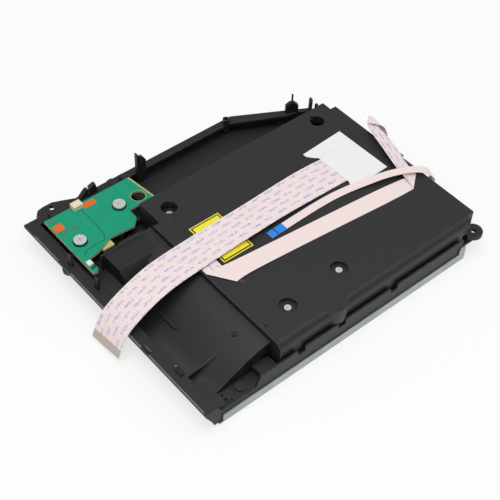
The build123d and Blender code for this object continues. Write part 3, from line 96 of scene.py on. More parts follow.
def linear(hex_colour):
    """An sRGB hex colour as linear red, green, blue and alpha."""
    parts = [int(hex_colour[i : i + 2], 16) / 255 for i in (1, 3, 5)]
    curved = [c / 12.92 if c <= 0.04045 else ((c + 0.055) / 1.055) ** 2.4 for c in parts]
    return (*curved, 1.0)


def add(material, kind, inputs=None, **settings):
    """Adds a node with its settings, and feeds its inputs from values or from other nodes."""
    made = material.node_tree.nodes.new("ShaderNode" + kind)
    for key, value in settings.items():
        setattr(made, key, value)
    for key, value in (inputs or {}).items():
        if isinstance(value, bpy.types.NodeSocket):
            material.node_tree.links.new(value, made.inputs[key])
        else:
            made.inputs[key].default_value = value
    return made


def blank(name):
    """A new material with no nodes."""
    material = bpy.data.materials.new(name)
    material.use_nodes = True
    material.node_tree.nodes.clear()
    return material


def mottled(material, size, stretch=(1.0, 1.0, 1.0), detail=2.0):
    """A pattern whose lumps are about this many millimetres wide, and longer where stretched."""
    place = add(material, "TexCoord").outputs["Object"]
    scale = [1.0 / (size * mm * longer) for longer in stretch]
    pattern = add(material, "Mapping", {"Vector": place, "Scale": scale}).outputs["Vector"]
    values = {"Vector": pattern, "Scale": 1.0, "Detail": detail}
    return add(material, "TexNoise", values).outputs["Fac"]


def edge_highlight_mask(material, bevel):
    """A mask for the painted edge highlight: 0 on flat faces and 1 where a bevelled normal turns
    most.
    """
    on_the_flat, on_the_edge = 0.995, 0.86
    flat = add(material, "NewGeometry").outputs["True Normal"]
    alike = add(material, "VectorMath", {0: bevel, 1: flat}, operation="DOT_PRODUCT")
    ends = {
        "Value": alike.outputs["Value"],
        "From Min": on_the_flat,
        "From Max": on_the_edge,
        "To Min": 0.0,
        "To Max": 1.0,
    }
    return add(material, "MapRange", ends).outputs["Result"]


def finish(material, tones, share, roughness, grain, depth, normal, constants):
    """Joins a finish: two tones by their share, a roughness range and a relief over the grain."""
    first, second = [linear(tone) if isinstance(tone, str) else tone for tone in tones]
    tone = add(material, "Mix", {0: share, 6: first, 7: second}, data_type="RGBA").outputs[2]
    ends = {
        "Value": grain,
        "From Min": noise_low,
        "From Max": noise_high,
        "To Min": roughness[0],
        "To Max": roughness[1],
    }
    sheen = add(material, "MapRange", ends).outputs["Result"]
    values = {"Height": grain, "Distance": depth * mm, "Strength": 1.0, "Normal": normal}
    relief = add(material, "Bump", values).outputs["Normal"]
    inputs = {"Base Color": tone, "Roughness": sheen, "Normal": relief, **constants}
    shader = add(material, "BsdfPrincipled", inputs)
    add(material, "OutputMaterial", {"Surface": shader.outputs["BSDF"]})
    return material


def clouded(material, size, most):
    """The share of a second tone: soft clouds of this size, with this much of it at most."""
    cloud = mottled(material, size)
    ends = {
        "Value": cloud,
        "From Min": noise_low,
        "From Max": noise_high,
        "To Min": 0.0,
        "To Max": most,
    }
    return add(material, "MapRange", ends).outputs["Result"]


def spark_eroded_plastic(name, colour, edge_highlight_colour, roughness, grain_depth=0.03):
    """Injection moulded ABS from a spark-eroded tool: an even fine grain, and a painted highlight
    that makes its edges lighter in soft patches.

    The real grain is near 0.1 mm, too fine to show, so it is drawn at 0.5 mm.
    """
    material = blank(name)
    normal = add(material, "Bevel", {"Radius": 0.4 * mm}, samples=4).outputs["Normal"]
    pores = mottled(material, 0.5, detail=3.0)
    # The painted edge highlight, in soft patches
    highlight_parts = {0: edge_highlight_mask(material, normal), 1: clouded(material, 2.5, 0.9)}
    share = add(material, "Math", highlight_parts, operation="MULTIPLY").outputs["Value"]
    tones = (colour, edge_highlight_colour)
    ends = (roughness - 0.05, roughness + 0.05)
    return finish(material, tones, share, ends, pores, grain_depth, normal, {"IOR": 1.5})


def rolled_steel(name, colour, dark, roughness, along=(40.0, 1.0, 1.0)):
    """Zinc-plated sheet: cool silver with fine streaks in the rolling direction."""
    material = blank(name)
    normal = add(material, "Bevel", {"Radius": 0.2 * mm}, samples=4).outputs["Normal"]
    streaks = mottled(material, 0.5, stretch=along, detail=3.0)
    share = clouded(material, 9.0, 0.5)
    ends = (roughness - 0.06, roughness + 0.1)
    constants = {"Metallic": 1.0}
    return finish(material, (colour, dark), share, ends, streaks, 0.004, normal, constants)


def turned_metal(name, colour, shade, roughness, metallic=1.0):
    """Turned or die-cast metal: bright, with soft variation in its polish."""
    material = blank(name)
    normal = add(material, "Bevel", {"Radius": 0.15 * mm}, samples=4).outputs["Normal"]
    share = clouded(material, 1.6, 0.5)
    ends = (roughness - 0.05, roughness + 0.08)
    grain = mottled(material, 0.5)
    constants = {"Metallic": metallic}
    return finish(material, (colour, shade), share, ends, grain, 0.004, normal, constants)


def moulded_resin(name, colour, shade, roughness, subsurface=0.0):
    """Acetal, nylon or polyester resin: a smooth, slightly waxy skin."""
    material = blank(name)
    normal = add(material, "Bevel", {"Radius": 0.15 * mm}, samples=4).outputs["Normal"]
    share = clouded(material, 3.0, 0.6)
    ends = (roughness - 0.04, roughness + 0.05)
    constants = {
        "IOR": 1.48,
        "Subsurface Weight": subsurface,
        "Subsurface Radius": (1.2 * mm, 1.0 * mm, 0.8 * mm),
    }
    grain = mottled(material, 0.6)
    return finish(material, (colour, shade), share, ends, grain, 0.006, normal, constants)


def slotted_resin(name, colour, slot_shade_colour):
    """Connector housing whose row of contact slots shows as fine darker stripes across it: painted
    shade in the slots.
    """
    material = blank(name)
    slot_pitch, slot_share = 1.25, 0.35
    split = add(material, "SeparateXYZ", {"Vector": add(material, "TexCoord").outputs["Object"]})
    steps = add(material, "Math", {0: split.outputs["X"], 1: slot_pitch * mm}, operation="DIVIDE")
    part = add(material, "Math", {0: steps.outputs["Value"]}, operation="FRACT")
    slots = add(material, "Math", {0: part.outputs["Value"], 1: slot_share}, operation="LESS_THAN")
    share = slots.outputs["Value"]
    normal = add(material, "Bevel", {"Radius": 0.12 * mm}, samples=4).outputs["Normal"]
    grain = mottled(material, 1.5)
    tones = (colour, slot_shade_colour)
    return finish(material, tones, share, (0.4, 0.5), grain, 0.01, normal, {"IOR": 1.5})


def rubber(name, colour):
    """Moulded nitrile rubber: matt, with a dusty bloom."""
    material = blank(name)
    normal = add(material, "Bevel", {"Radius": 0.2 * mm}, samples=4).outputs["Normal"]
    share = clouded(material, 2.0, 0.6)
    grain = mottled(material, 0.5)
    bloom = "#4a4a4b"
    return finish(material, (colour, bloom), share, (0.72, 0.88), grain, 0.02, normal, {})


def solder_mask():
    """Green lacquer over glass cloth: an even green with a soft gloss, and pale cut sides."""
    material = blank("Green solder mask on laminate")
    normal = add(material, "Bevel", {"Radius": 0.12 * mm}, samples=4).outputs["Normal"]
    facing = add(material, "NewGeometry").outputs["True Normal"]
    upright = add(material, "SeparateXYZ", {"Vector": facing}).outputs["Z"]
    side = add(material, "Math", {0: upright, 1: 0.5}, operation="LESS_THAN").outputs["Value"]
    weave = mottled(material, 0.8, stretch=(4.0, 1.0, 1.0), detail=3.0)
    values = {0: clouded(material, 5.0, 0.5), 6: linear("#0e9773"), 7: linear("#14a07c")}
    lacquer = add(material, "Mix", values, data_type="RGBA").outputs[2]
    tones = (lacquer, "#b8b58a")
    constants = {"IOR": 1.5, "Specular IOR Level": 0.3}
    return finish(material, tones, side, (0.36, 0.46), weave, 0.006, normal, constants)


def ribbon_lay(material):
    """Millimetres across the ribbon and along it, and a wave across it with one crest to a wire.

    The wires are taken as 0.5 mm apart, which is too fine to show, so every second one is drawn.
    """
    wire_pitch = 1.0
    lay = add(material, "UVMap", uv_map="millimetres").outputs["UV"]
    split = add(material, "SeparateXYZ", {"Vector": lay})
    turn = {0: split.outputs["X"], 1: 2 * math.pi / wire_pitch}
    angle = add(material, "Math", turn, operation="MULTIPLY").outputs["Value"]
    wave = add(material, "Math", {0: angle}, operation="SINE").outputs["Value"]
    ends = {
        "Value": wave,
        "From Min": -1.0,
        "From Max": 1.0,
        "To Min": noise_low,
        "To Max": noise_high,
    }
    wires = add(material, "MapRange", ends).outputs["Result"]
    return split.outputs["X"], split.outputs["Y"], wires


def polyester_film(name, colour, print_colour=None):
    """Polyester film laminated on flat wires: pinkish white, a soft shine, faint lines along it.

    The printed side carries rows of small pale blue strokes.
    """
    material = blank(name)
    across, along, wires = ribbon_lay(material)
    # The rows of strokes and the groups in them, in millimetres
    row_pitch, row_start, print_height = 4.1, 0.9, 1.6
    word_pitch, word_length, stroke, stagger = 9.6, 6.2, 0.42, 3.7
    sums = {"across": across, "along": along}
    for step, operation, first, second in (
        ("rows", "DIVIDE", "across", row_pitch),
        ("row", "FLOOR", "rows", 0.0),
        ("row part", "FRACT", "rows", 0.0),
        ("height", "MULTIPLY", "row part", row_pitch),
        ("over foot", "GREATER_THAN", "height", row_start),
        ("under head", "LESS_THAN", "height", row_start + print_height),
        ("in row", "MULTIPLY", "over foot", "under head"),
        ("shift", "MULTIPLY", "row", stagger),
        ("shifted", "ADD", "along", "shift"),
        ("words", "DIVIDE", "shifted", word_pitch),
        ("word part", "FRACT", "words", 0.0),
        ("in word", "LESS_THAN", "word part", word_length / word_pitch),
        ("printed", "MULTIPLY", "in row", "in word"),
        ("strokes along", "DIVIDE", "shifted", stroke),
        ("column", "FLOOR", "strokes along", 0.0),
        ("strokes up", "DIVIDE", "height", stroke),
        ("level", "FLOOR", "strokes up", 0.0),
    ):
        values = {0: sums.get(first, first), 1: sums.get(second, second)}
        sums[step] = add(material, "Math", values, operation=operation).outputs["Value"]
    place = {"X": sums["column"], "Y": sums["level"], "Z": sums["row"]}
    cell = add(material, "CombineXYZ", place)
    scatter = add(material, "TexWhiteNoise", {"Vector": cell.outputs["Vector"]}).outputs["Value"]
    ends = {"Value": scatter, "From Min": 0.5, "From Max": 0.55, "To Min": 0.0, "To Max": 0.85}
    inked = add(material, "MapRange", ends).outputs["Result"]
    values = {0: inked, 1: sums["printed"] if print_colour else 0.0}
    share = add(material, "Math", values, operation="MULTIPLY").outputs["Value"]
    lines = {0: wires, 6: linear(colour), 7: linear("#ecd6d4")}
    ground = add(material, "Mix", lines, data_type="RGBA").outputs[2]
    normal = add(material, "NewGeometry").outputs["Normal"]
    tones = (ground, print_colour or colour)
    return finish(material, tones, share, (0.4, 0.5), wires, 0.03, normal, {"IOR": 1.5})


def tinned_contacts():
    """Bare tinned contacts on a stiffener: fine bright lines with dull tan gaps."""
    material = blank("Tinned contacts on stiffener")
    wires = ribbon_lay(material)[2]
    ends = {"Value": wires, "From Min": 0.4, "From Max": 0.6, "To Min": 0.0, "To Max": 1.0}
    share = add(material, "MapRange", ends).outputs["Result"]
    normal = add(material, "NewGeometry").outputs["Normal"]
    tones = ("#b1a295", "#cdc3ba")
    return finish(material, tones, share, (0.46, 0.36), wires, 0.06, normal, {"Metallic": 0.25})


def film_label(name, colour, shade, roughness=0.4):
    """Printed film, coated paper or lacquer: an even colour, faintly clouded, and a faint gloss."""
    material = blank(name)
    share = clouded(material, 1.4, 0.5)
    ends = (roughness - 0.05, roughness + 0.05)
    normal = add(material, "NewGeometry").outputs["Normal"]
    grain = mottled(material, 6.0)
    return finish(material, (colour, shade), share, ends, grain, 0.03, normal, {"IOR": 1.5})


def lens_glass():
    """Moulded lens with an anti-reflection coat: clear, with a faint violet shine."""
    material = blank("Coated lens glass")
    constants = {
        "IOR": 1.58,
        "Transmission Weight": 0.8,
        "Coat Weight": 1.0,
        "Coat Roughness": 0.02,
    }
    normal = add(material, "NewGeometry").outputs["Normal"]
    share = clouded(material, 3.0, 1.0)
    tones, grain = ("#9a8cc8", "#6f7fc4"), mottled(material, 3.0)
    return finish(material, tones, share, (0.03, 0.05), grain, 0.001, normal, constants)


# The second colour of each ABS finish below is its painted edge highlight
black_case = spark_eroded_plastic("Black spark-eroded ABS", "#1a1a1c", "#707073", 0.52)
cover_case = spark_eroded_plastic("Black ABS cover", "#202022", "#6a6a6d", 0.5)
tray_case = spark_eroded_plastic("Smoother black ABS", "#17171a", "#66666a", 0.42, 0.015)
plated_sheet = rolled_steel("Zinc-plated sheet steel", "#aab3b1", "#8e9795", 0.36)
motor_can = rolled_steel("Drawn steel motor can", "#b9bcbe", "#85888a", 0.3, along=(1.0, 30.0, 1.0))
nickel_screw = turned_metal("Nickel-plated screw", "#ececea", "#d2d2d0", 0.42, 0.75)
ground_rod = turned_metal("Ground steel rod", "#c8cacc", "#8f9193", 0.18)
cast_zinc = turned_metal("Die-cast zinc", "#8f9294", "#6b6d70", 0.45)
brass_metal = turned_metal("Free-cutting brass", "#d9b45e", "#a8853d", 0.3)
natural_acetal = moulded_resin("Natural acetal", "#e9e6dd", "#cfcabb", 0.4, 0.15)
black_acetal = moulded_resin("Black acetal", "#1b1b1c", "#2c2c2e", 0.36)
cream_nylon = moulded_resin("Cream nylon connector", "#eee2c6", "#dccfa8", 0.42, 0.1)
pale_connector = slotted_resin("Pale connector housing", "#cfd092", "#a9ab6c")
white_resin = moulded_resin("White moulded resin", "#f0f0ec", "#dcdcd6", 0.4, 0.1)
damper_rubber = rubber("Soft damper rubber", "#242424")
roller_rubber = rubber("Roller rubber", "#303032")

cad_finishes = {
    plated_sheet: ("metal_plate", "lift_frame", "traverse_plate"),
    black_case: ("main_chassis",),
    cover_case: ("deck_cover",),
    tray_case: ("entry_tray",),
    solder_mask(): ("circuit_board",),
    pale_connector: ("board_connector",),
    cream_nylon: ("board_socket", "rod_holders"),
    white_resin: ("board_sensor",),
    nickel_screw: ("board_screws", "cover_screws", "damper_screws"),
    motor_can: ("loading_motor", "spindle_motor", "sled_motor"),
    ground_rod: ("main_guide_rod", "second_guide_rod", "lead_screw", "roller_shaft", "gear_pins"),
    cast_zinc: ("pickup_carriage",),
    brass_metal: ("roller_bushes", "motor_pinion"),
    natural_acetal: ("roller_gear", "wheel_gear", "drive_gear", "cam_pinion", "clamp_puck"),
    black_acetal: (
        "slide_cam",
        "disc_stop_arm",
        "clamp_retainer",
        "turntable",
        "rack_follower",
        "lead_bearing",
    ),
    damper_rubber: ("rubber_dampers",),
    roller_rubber: ("rubber_rollers",),
    lens_glass(): ("objective_lens",),
}
for covering, nodes in cad_finishes.items():
    for node in nodes:
        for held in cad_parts[node].material_slots:
            held.material = covering

film_plain = polyester_film("Polyester flat cable", "#fbeceb")
film_printed = polyester_film("Printed polyester flat cable", "#fbeceb", "#86a6da")
blue_stiffener = film_label("Blue polyester stiffener", "#1f8fee", "#1b84e2", 0.35)
# Black ink for the yellow label's line, also used as painted shade in the stiffener's gap
black_ink_and_gap_shade = film_label("Black label ink and painted gap shade", "#26241c", "#34301f")
yellow_film = film_label("Yellow label film", "#f6ea3a", "#f0e22c")
white_paper = film_label("White label paper", "#f3f3f3", "#ececec", 0.5)
grey_tape = film_label("Grey polyester tape", "#444242", "#383737")
orange_pad = film_label("Flux-covered copper pad", "#f06a0c", "#e66006")
gilt_edge = film_label("Bare gilt laminate edge", "#b9b07a", "#a39a62")
dark_lacquer = film_label("Lacquer over an etched gap", "#0c5844", "#0a4c3b")
dark_part = moulded_resin("Black component body", "#1f1f20", "#2c2c2d", 0.4)
# Near-black plastic for painted shade in the cover's seams and in the latch recesses
seam_shadow = spark_eroded_plastic("Painted shade in ABS seams and recesses", "#080809", "#141415", 0.6)
# Light plastic for painted highlights along the entry lip's edge, a latch rim and a knob
painted_edge_highlight = spark_eroded_plastic("Painted highlight on ABS edges", "#707073", "#9c9ca0", 0.38)


# Ribbon cables


def smooth_line(points):
    """The points of the smooth line that these control points draw."""
    curve = bpy.data.curves.new("route", "CURVE")
    curve.dimensions = "3D"
    curve.resolution_u = 10
    spline = curve.splines.new("NURBS")
    spline.points.add(len(points) - 1)
    for control, place in zip(spline.points, points):
        control.co = (*place, 1.0)
    spline.order_u = 3
    spline.use_endpoint_u = True
    holder = bpy.data.objects.new("route", curve)
    traced = bpy.data.meshes.new_from_object(holder)
    line = [vertex.co.copy() for vertex in traced.vertices]
    bpy.data.objects.remove(holder)
    bpy.data.curves.remove(curve)
    bpy.data.meshes.remove(traced)
    return line


def thicken(piece, thickness, other_side=0):
    """Gives a sheet its thickness. Its lower side takes the material this many slots further."""
    bpy.ops.object.select_all(action="DESELECT")
    bpy.context.view_layer.objects.active = piece
    piece.select_set(True)
    wall = piece.modifiers.new("thickness", "SOLIDIFY")
    wall.thickness = thickness * mm
    wall.offset = 0.0
    wall.material_offset = other_side
    bpy.ops.object.modifier_apply(modifier=wall.name)
    sharp_from = math.radians(40)
    bpy.ops.object.shade_smooth_by_angle(angle=sharp_from)


def strip(name, left, right, materials, thickness):
    """A thin band between two lines, with its own millimetres as texture coordinates."""
    cells = 4
    count = cells + 1
    rows = [[a.lerp(b, i / cells) for i in range(count)] for a, b in zip(left, right)]
    reach = [[0.0] * count]
    for before, after in zip(rows, rows[1:]):
        reach.append([r + (q - p).length / mm for r, p, q in zip(reach[-1], before, after)])
    width = (left[0] - right[0]).length / mm
    mesh = bpy.data.meshes.new(name)
    faces = [
        (r * count + i, r * count + i + 1, (r + 1) * count + i + 1, (r + 1) * count + i)
        for r in range(len(rows) - 1)
        for i in range(cells)
    ]
    mesh.from_pydata([p for row in rows for p in row], [], faces)
    layer = mesh.uv_layers.new(name="millimetres")
    for loop in mesh.loops:
        row, i = divmod(loop.vertex_index, count)
        layer.data[loop.index].uv = (width * i / cells, reach[row][i])
    band = bpy.data.objects.new(name, mesh)
    bpy.context.scene.collection.objects.link(band)
    for material in materials:
        mesh.materials.append(material)
    thicken(band, thickness, len(materials) - 1)
    return band


def line_between(pairs):
    """The smooth edges and middle of a ribbon, from pairs of places on its two edges."""
    left = [at(*first) for first, second in pairs]
    right = [at(*second) for first, second in pairs]
    middle = [first.lerp(second, 0.5) for first, second in zip(left, right)]
    return smooth_line(left), smooth_line(right), smooth_line(middle)


def stretch(line, start, end):
    """The part of a line between two distances from its first point, in millimetres."""
    kept, gone = [], 0.0
    for before, after in zip(line, line[1:]):
        step = (after - before).length / mm
        for distance in (start, end):
            if gone <= distance <= gone + step:
                kept.append(before.lerp(after, (distance - gone) / step))
        if start < gone + step < end:
            kept.append(after)
        gone += step
    return kept


def raised(line, rise):
    """The line moved by this many millimetres along each axis."""
    return [point + Vector(rise) * mm for point in line]


film_thickness = 0.25

# Each pair below is a place on one edge of a ribbon and the place across from it on the other.

# Wide ribbon: out of its slot, over the cover and the tray, and down to the table
wide_pairs = [
    ((-31.4, 84.4, 24.0), (-30.6, 62.4, 24.0)),
    ((-34.0, 84.4, 26.3), (-33.2, 62.3, 26.3)),
    ((-40.8, 84.4, 26.35), (-40.0, 62.1, 26.35)),
    ((-47.4, 84.5, 27.2), (-46.6, 62.3, 26.5)),
    ((-64.4, 84.3, 27.9), (-63.6, 62.3, 27.2)),
    ((-81.4, 83.9, 27.6), (-80.6, 62.0, 28.4)),
    ((-96.3, 83.5, 27.1), (-95.7, 61.7, 28.8)),
    ((-126.3, 83.0, 26.8), (-125.7, 61.2, 28.2)),
    ((-150.2, 82.0, 27.0), (-149.7, 60.2, 27.8)),
    ((-168.2, 80.8, 27.0), (-167.3, 59.0, 28.0)),
    ((-185.2, 78.9, 23.6), (-183.9, 57.4, 24.8)),
    ((-199.6, 78.5, 15.9), (-198.9, 56.7, 16.2)),
    ((-204.9, 77.7, 7.8), (-203.9, 55.9, 8.3)),
    ((-207.3, 77.3, 1.7), (-206.0, 55.5, 2.9)),
]
wide_left, wide_right, wide_middle = line_between(wide_pairs)
wide_ribbon = strip(
    "wide_ribbon_film", wide_left, wide_right, (film_plain, film_printed), film_thickness
)

# Bare contacts at its end, on the upper side
contact_length, contact_thickness = 5.0, 0.1
contact_rise = (-0.2, 0.0, 0.08)
contacts = strip(
    "contact_strip",
    *[
        raised(stretch(edge[::-1], 0.0, contact_length)[::-1], contact_rise)
        for edge in (wide_left, wide_right)
    ],
    (tinned_contacts(),),
    contact_thickness,
)
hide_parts("wide_ribbon")

# Folded ribbon: from under the wide one, with three folds, the last one past the cover's right
# edge, and then down into the side. Three pairs close together make a fold.
folded_pairs = [
    ((-135.9, 67.0, 24.4), (-146.6, 67.0, 24.4)),
    ((-136.2, 65.6, 26.3), (-146.7, 65.6, 26.3)),
    ((-136.6, 61.3, 26.4), (-146.9, 61.5, 26.4)),
    ((-137.1, 45.0, 26.35), (-147.0, 58.2, 26.35)),
    ((-137.2, 42.8, 26.35), (-147.0, 57.1, 26.35)),
    ((-137.2, 42.5, 26.6), (-147.1, 56.8, 26.6)),
    ((-137.1, 42.7, 26.85), (-147.0, 57.0, 26.85)),
    ((-134.0, 42.9, 26.85), (-143.5, 56.6, 26.85)),
    ((-127.0, 43.2, 26.7), (-129.0, 54.8, 26.7)),
    ((-100.5, 41.1, 26.5), (-99.5, 52.1, 26.5)),
    ((-60.5, 37.5, 26.3), (-59.5, 48.5, 26.3)),
    ((-30.5, 34.6, 26.2), (-29.3, 45.6, 26.2)),
    ((-16.0, 33.7, 26.2), (-9.0, 42.6, 26.2)),
    ((-14.2, 33.7, 26.2), (-4.8, 41.3, 26.2)),
    ((-13.9, 33.7, 26.45), (-4.4, 41.1, 26.4)),
    ((-13.9, 34.0, 26.75), (-4.5, 41.3, 26.6)),
    ((-12.8, 38.5, 27.4), (-3.9, 43.0, 26.6)),
    ((-12.2, 45.5, 28.3), (-3.2, 46.2, 26.2)),
    ((-11.4, 50.6, 28.9), (-2.2, 50.2, 26.0)),
    ((-8.6, 60.6, 29.6), (-0.2, 55.9, 26.2)),
    ((-5.5, 70.7, 30.0), (3.2, 66.6, 26.6)),
    ((-2.9, 80.8, 30.3), (5.2, 75.4, 27.0)),
    ((-0.1, 86.2, 30.35), (7.8, 90.0, 27.3)),
    ((0.4, 87.4, 30.4), (8.4, 94.0, 27.5)),
    ((0.7, 87.5, 30.5), (8.8, 94.0, 27.7)),
    ((5.6, 83.8, 29.6), (10.4, 91.4, 27.2)),
    ((9.6, 81.4, 27.2), (12.6, 89.0, 22.5)),
    ((10.4, 78.5, 22.6), (11.6, 88.0, 19.2)),
    ((8.0, 75.6, 20.4), (8.0, 86.4, 19.6)),
    ((4.0, 74.0, 20.0), (4.0, 85.0, 20.0)),
    ((-0.6, 74.0, 20.0), (-0.6, 85.0, 20.0)),
]
folded_left, folded_right, folded_middle = line_between(folded_pairs)
folded_ribbon = strip(
    "folded_ribbon_film", folded_left, folded_right, (film_printed, film_plain), film_thickness
)
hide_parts("folded_ribbon")

# Narrow ribbon: from its blue stiffener on the cover, over the folded one and down the right wall
narrow_pairs = [
    ((-102.5, 54.5, 26.4), (-102.5, 59.5, 26.4)),
    ((-81.0, 55.4, 26.5), (-81.0, 60.4, 26.5)),
    ((-57.0, 55.6, 26.4), (-57.0, 60.6, 26.4)),
    ((-43.0, 53.9, 26.5), (-42.0, 58.8, 26.5)),
    ((-32.8, 51.2, 27.5), (-31.0, 55.9, 27.5)),
    ((-22.6, 48.0, 29.0), (-20.5, 52.6, 29.0)),
    ((-13.7, 44.4, 29.6), (-11.4, 48.8, 29.6)),
    ((-7.0, 41.2, 29.4), (-4.4, 45.5, 29.4)),
    ((-2.0, 38.2, 28.6), (1.2, 42.0, 29.0)),
    ((1.8, 35.6, 26.2), (4.4, 39.8, 27.0)),
    ((5.0, 33.8, 22.6), (6.4, 38.6, 23.2)),
    ((4.4, 33.5, 20.0), (4.4, 38.5, 20.0)),
    ((-0.6, 33.5, 20.0), (-0.6, 38.5, 20.0)),
]
narrow_left, narrow_right, narrow_middle = line_between(narrow_pairs)
narrow_ribbon = strip(
    "narrow_ribbon_film", narrow_left, narrow_right, (film_plain,), film_thickness
)
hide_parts("narrow_ribbon")

# Its blue stiffener, drawn as one strip, with a thin black strip across it as painted shade in the
# gap between the stiffener's two parts
stiffener_length, stiffener_thickness = 11.0, 0.15
stiffener_rise = (0.0, 0.0, 0.22)
gap_start, gap_end, gap_thickness = 4.3, 5.0, 0.05
gap_rise = (0.0, 0.0, 0.32)
stiffener = strip(
    "blue_stiffener",
    *[
        raised(stretch(edge, 0.0, stiffener_length), stiffener_rise)
        for edge in (narrow_left, narrow_right)
    ],
    (blue_stiffener,),
    stiffener_thickness,
)
stiffener_gap = strip(
    "stiffener_gap",
    *[
        raised(stretch(edge, gap_start, gap_end), gap_rise)
        for edge in (narrow_left, narrow_right)
    ],
    (black_ink_and_gap_shade,),
    gap_thickness,
)
for piece in (wide_ribbon, contacts, folded_ribbon, narrow_ribbon, stiffener, stiffener_gap):
    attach(piece, "drive_body")


# Flat pieces: labels, pads and tracks, with their thicknesses in millimetres

ink_thickness = 0.03
pad_thickness = 0.06
tape_thickness = 0.1
chip_thickness = 0.7


def plate(name, corners, z, thickness, material):
    """A thin plate over a closed outline of places on the case."""
    bpy.ops.object.select_all(action="DESELECT")
    bpy.ops.mesh.primitive_circle_add(vertices=len(corners), radius=mm, fill_type="NGON")
    piece = bpy.context.object
    piece.name = name
    for vertex, (x, y) in zip(piece.data.vertices, corners):
        vertex.co = at(x, y, z)
    bpy.ops.object.mode_set(mode="EDIT")
    bpy.ops.mesh.select_all(action="SELECT")
    bpy.ops.mesh.extrude_region_move(TRANSFORM_OT_translate={"value": (0, 0, thickness * mm)})
    bpy.ops.mesh.select_all(action="SELECT")
    bpy.ops.mesh.normals_make_consistent(inside=False)
    bpy.ops.object.mode_set(mode="OBJECT")
    piece.data.materials.append(material)
    piece.location = (0.0, 0.0, 0.0)
    return piece


def rectangle(x0, x1, y0, y1, inset=0.0):
    """The outline of a rectangle, moved inwards by the inset."""
    low_x, high_x, low_y, high_y = x0 + inset, x1 - inset, y0 + inset, y1 - inset
    return [(low_x, low_y), (high_x, low_y), (high_x, high_y), (low_x, high_y)]


def circle(x, y, radius):
    """The outline of a circle."""
    corners = 24
    turns = [2 * math.pi * i / corners for i in range(corners)]
    return [(x + radius * math.cos(turn), y + radius * math.sin(turn)) for turn in turns]


def ring(name, x, y, inner, outer, z, material):
    """A flat ring round a hole."""
    ring_thickness = 0.05
    lines = [[at(u, v, z) for u, v in [*circle(x, y, r), (x + r, y)]] for r in (inner, outer)]
    return strip(name, *lines, (material,), ring_thickness)


def track(name, points, width, z, material):
    """A line of this width along places on the case."""
    sides = [[], []]
    for number, (x, y) in enumerate(points):
        before, after = points[max(number - 1, 0)], points[min(number + 1, len(points) - 1)]
        across = Vector((before[1] - after[1], after[0] - before[0])).normalized() * width / 2
        for side, sign in zip(sides, (1, -1)):
            side.append((x + sign * across.x, y + sign * across.y))
    return plate(name, sides[0] + sides[1][::-1], z, ink_thickness, material)


flat_pieces = []

# Yellow label: a black line round it, made of three layers that each lie on the one below
layers = ((yellow_film, 0.0), (black_ink_and_gap_shade, 0.7), (yellow_film, 1.5))
layer_step, layer_thickness = 0.06, 0.055
for layer, (ink, inset) in enumerate(layers):
    outline = rectangle(-134.0, -113.5, 57.4, 88.4, inset)
    height = cover_top + layer_step * layer
    flat_pieces.append(plate(f"yellow_label_{layer}", outline, height, layer_thickness, ink))

# White label: a sheet that lies on the cover and rises over the start of the wide ribbon.
# Its left edge is x over y, and its front edge is y over the share of the way to the right.
label_left_edge = [
    (55.9, -40.9),
    (58.0, -40.6),
    (60.4, -39.4),
    (85.7, -39.8),
    (91.5, -44.5),
    (95.0, -44.6),
]
label_front_edge = [(0.0, 57.4), (0.65, 55.7), (1.0, 56.0)]
label_back_left, label_back_right = 94.1, 95.8
label_right_front, label_right_back = -12.9, -13.8
label_thickness = 0.12

# It starts to rise at these places and is up by this much after these lengths
ribbon_x, ribbon_front, ribbon_back = -24.0, 57.5, 89.0
rise_height, rise_along, rise_across = 0.52, 8.0, 4.0


def ramp(value):
    """A soft step from 0 to 1."""
    share = min(max(value, 0.0), 1.0)
    return share * share * (3 - 2 * share)


def between(points, place):
    """The value on a broken line at a place."""
    for (a, u), (b, v) in zip(points, points[1:]):
        if place <= b:
            return u + (v - u) * max(place - a, 0.0) / (b - a)
    return points[-1][1]


def white_label():
    """The label as a grid laid between its edges, with its thickness."""
    cells = 48
    bpy.ops.object.select_all(action="DESELECT")
    bpy.ops.mesh.primitive_grid_add(x_subdivisions=cells, y_subdivisions=cells, size=2.0)
    sheet = bpy.context.object
    sheet.name = "white_label"
    for vertex in sheet.data.vertices:
        u, v = (vertex.co.x + 1) / 2, (vertex.co.y + 1) / 2
        front = between(label_front_edge, u)
        back = label_back_left + (label_back_right - label_back_left) * u
        y = front + (back - front) * v
        left = between(label_left_edge, y)
        right = label_right_front + (label_right_back - label_right_front) * v
        x = left + (right - left) * u
        over_ribbon = (
            ramp((ribbon_x - x) / rise_along)
            * ramp((y - ribbon_front) / rise_across)
            * ramp((ribbon_back - y) / rise_across)
        )
        vertex.co = at(x, y, cover_top + label_thickness + rise_height * over_ribbon)
    sheet.data.materials.append(white_paper)
    thicken(sheet, label_thickness)
    return sheet


flat_pieces.append(white_label())
flat_pieces.append(
    plate(
        "grey_tape",
        [(-136.4, 43.4), (-134.0, 43.2), (-133.4, 40.4), (-135.9, 40.6)],
        cover_top,
        tape_thickness,
        grey_tape,
    )
)
# Two thin dark lines on the cover: painted shade in its seams
seam_width = 0.5
for name, points in (
    ("cover_seam_back", [(-127.1, 116.6), (-127.6, 104.7)]),
    ("cover_seam_left", [(-135.9, 100.8), (-136.0, 86.9)]),
):
    flat_pieces.append(track(name, points, seam_width, cover_top, seam_shadow))

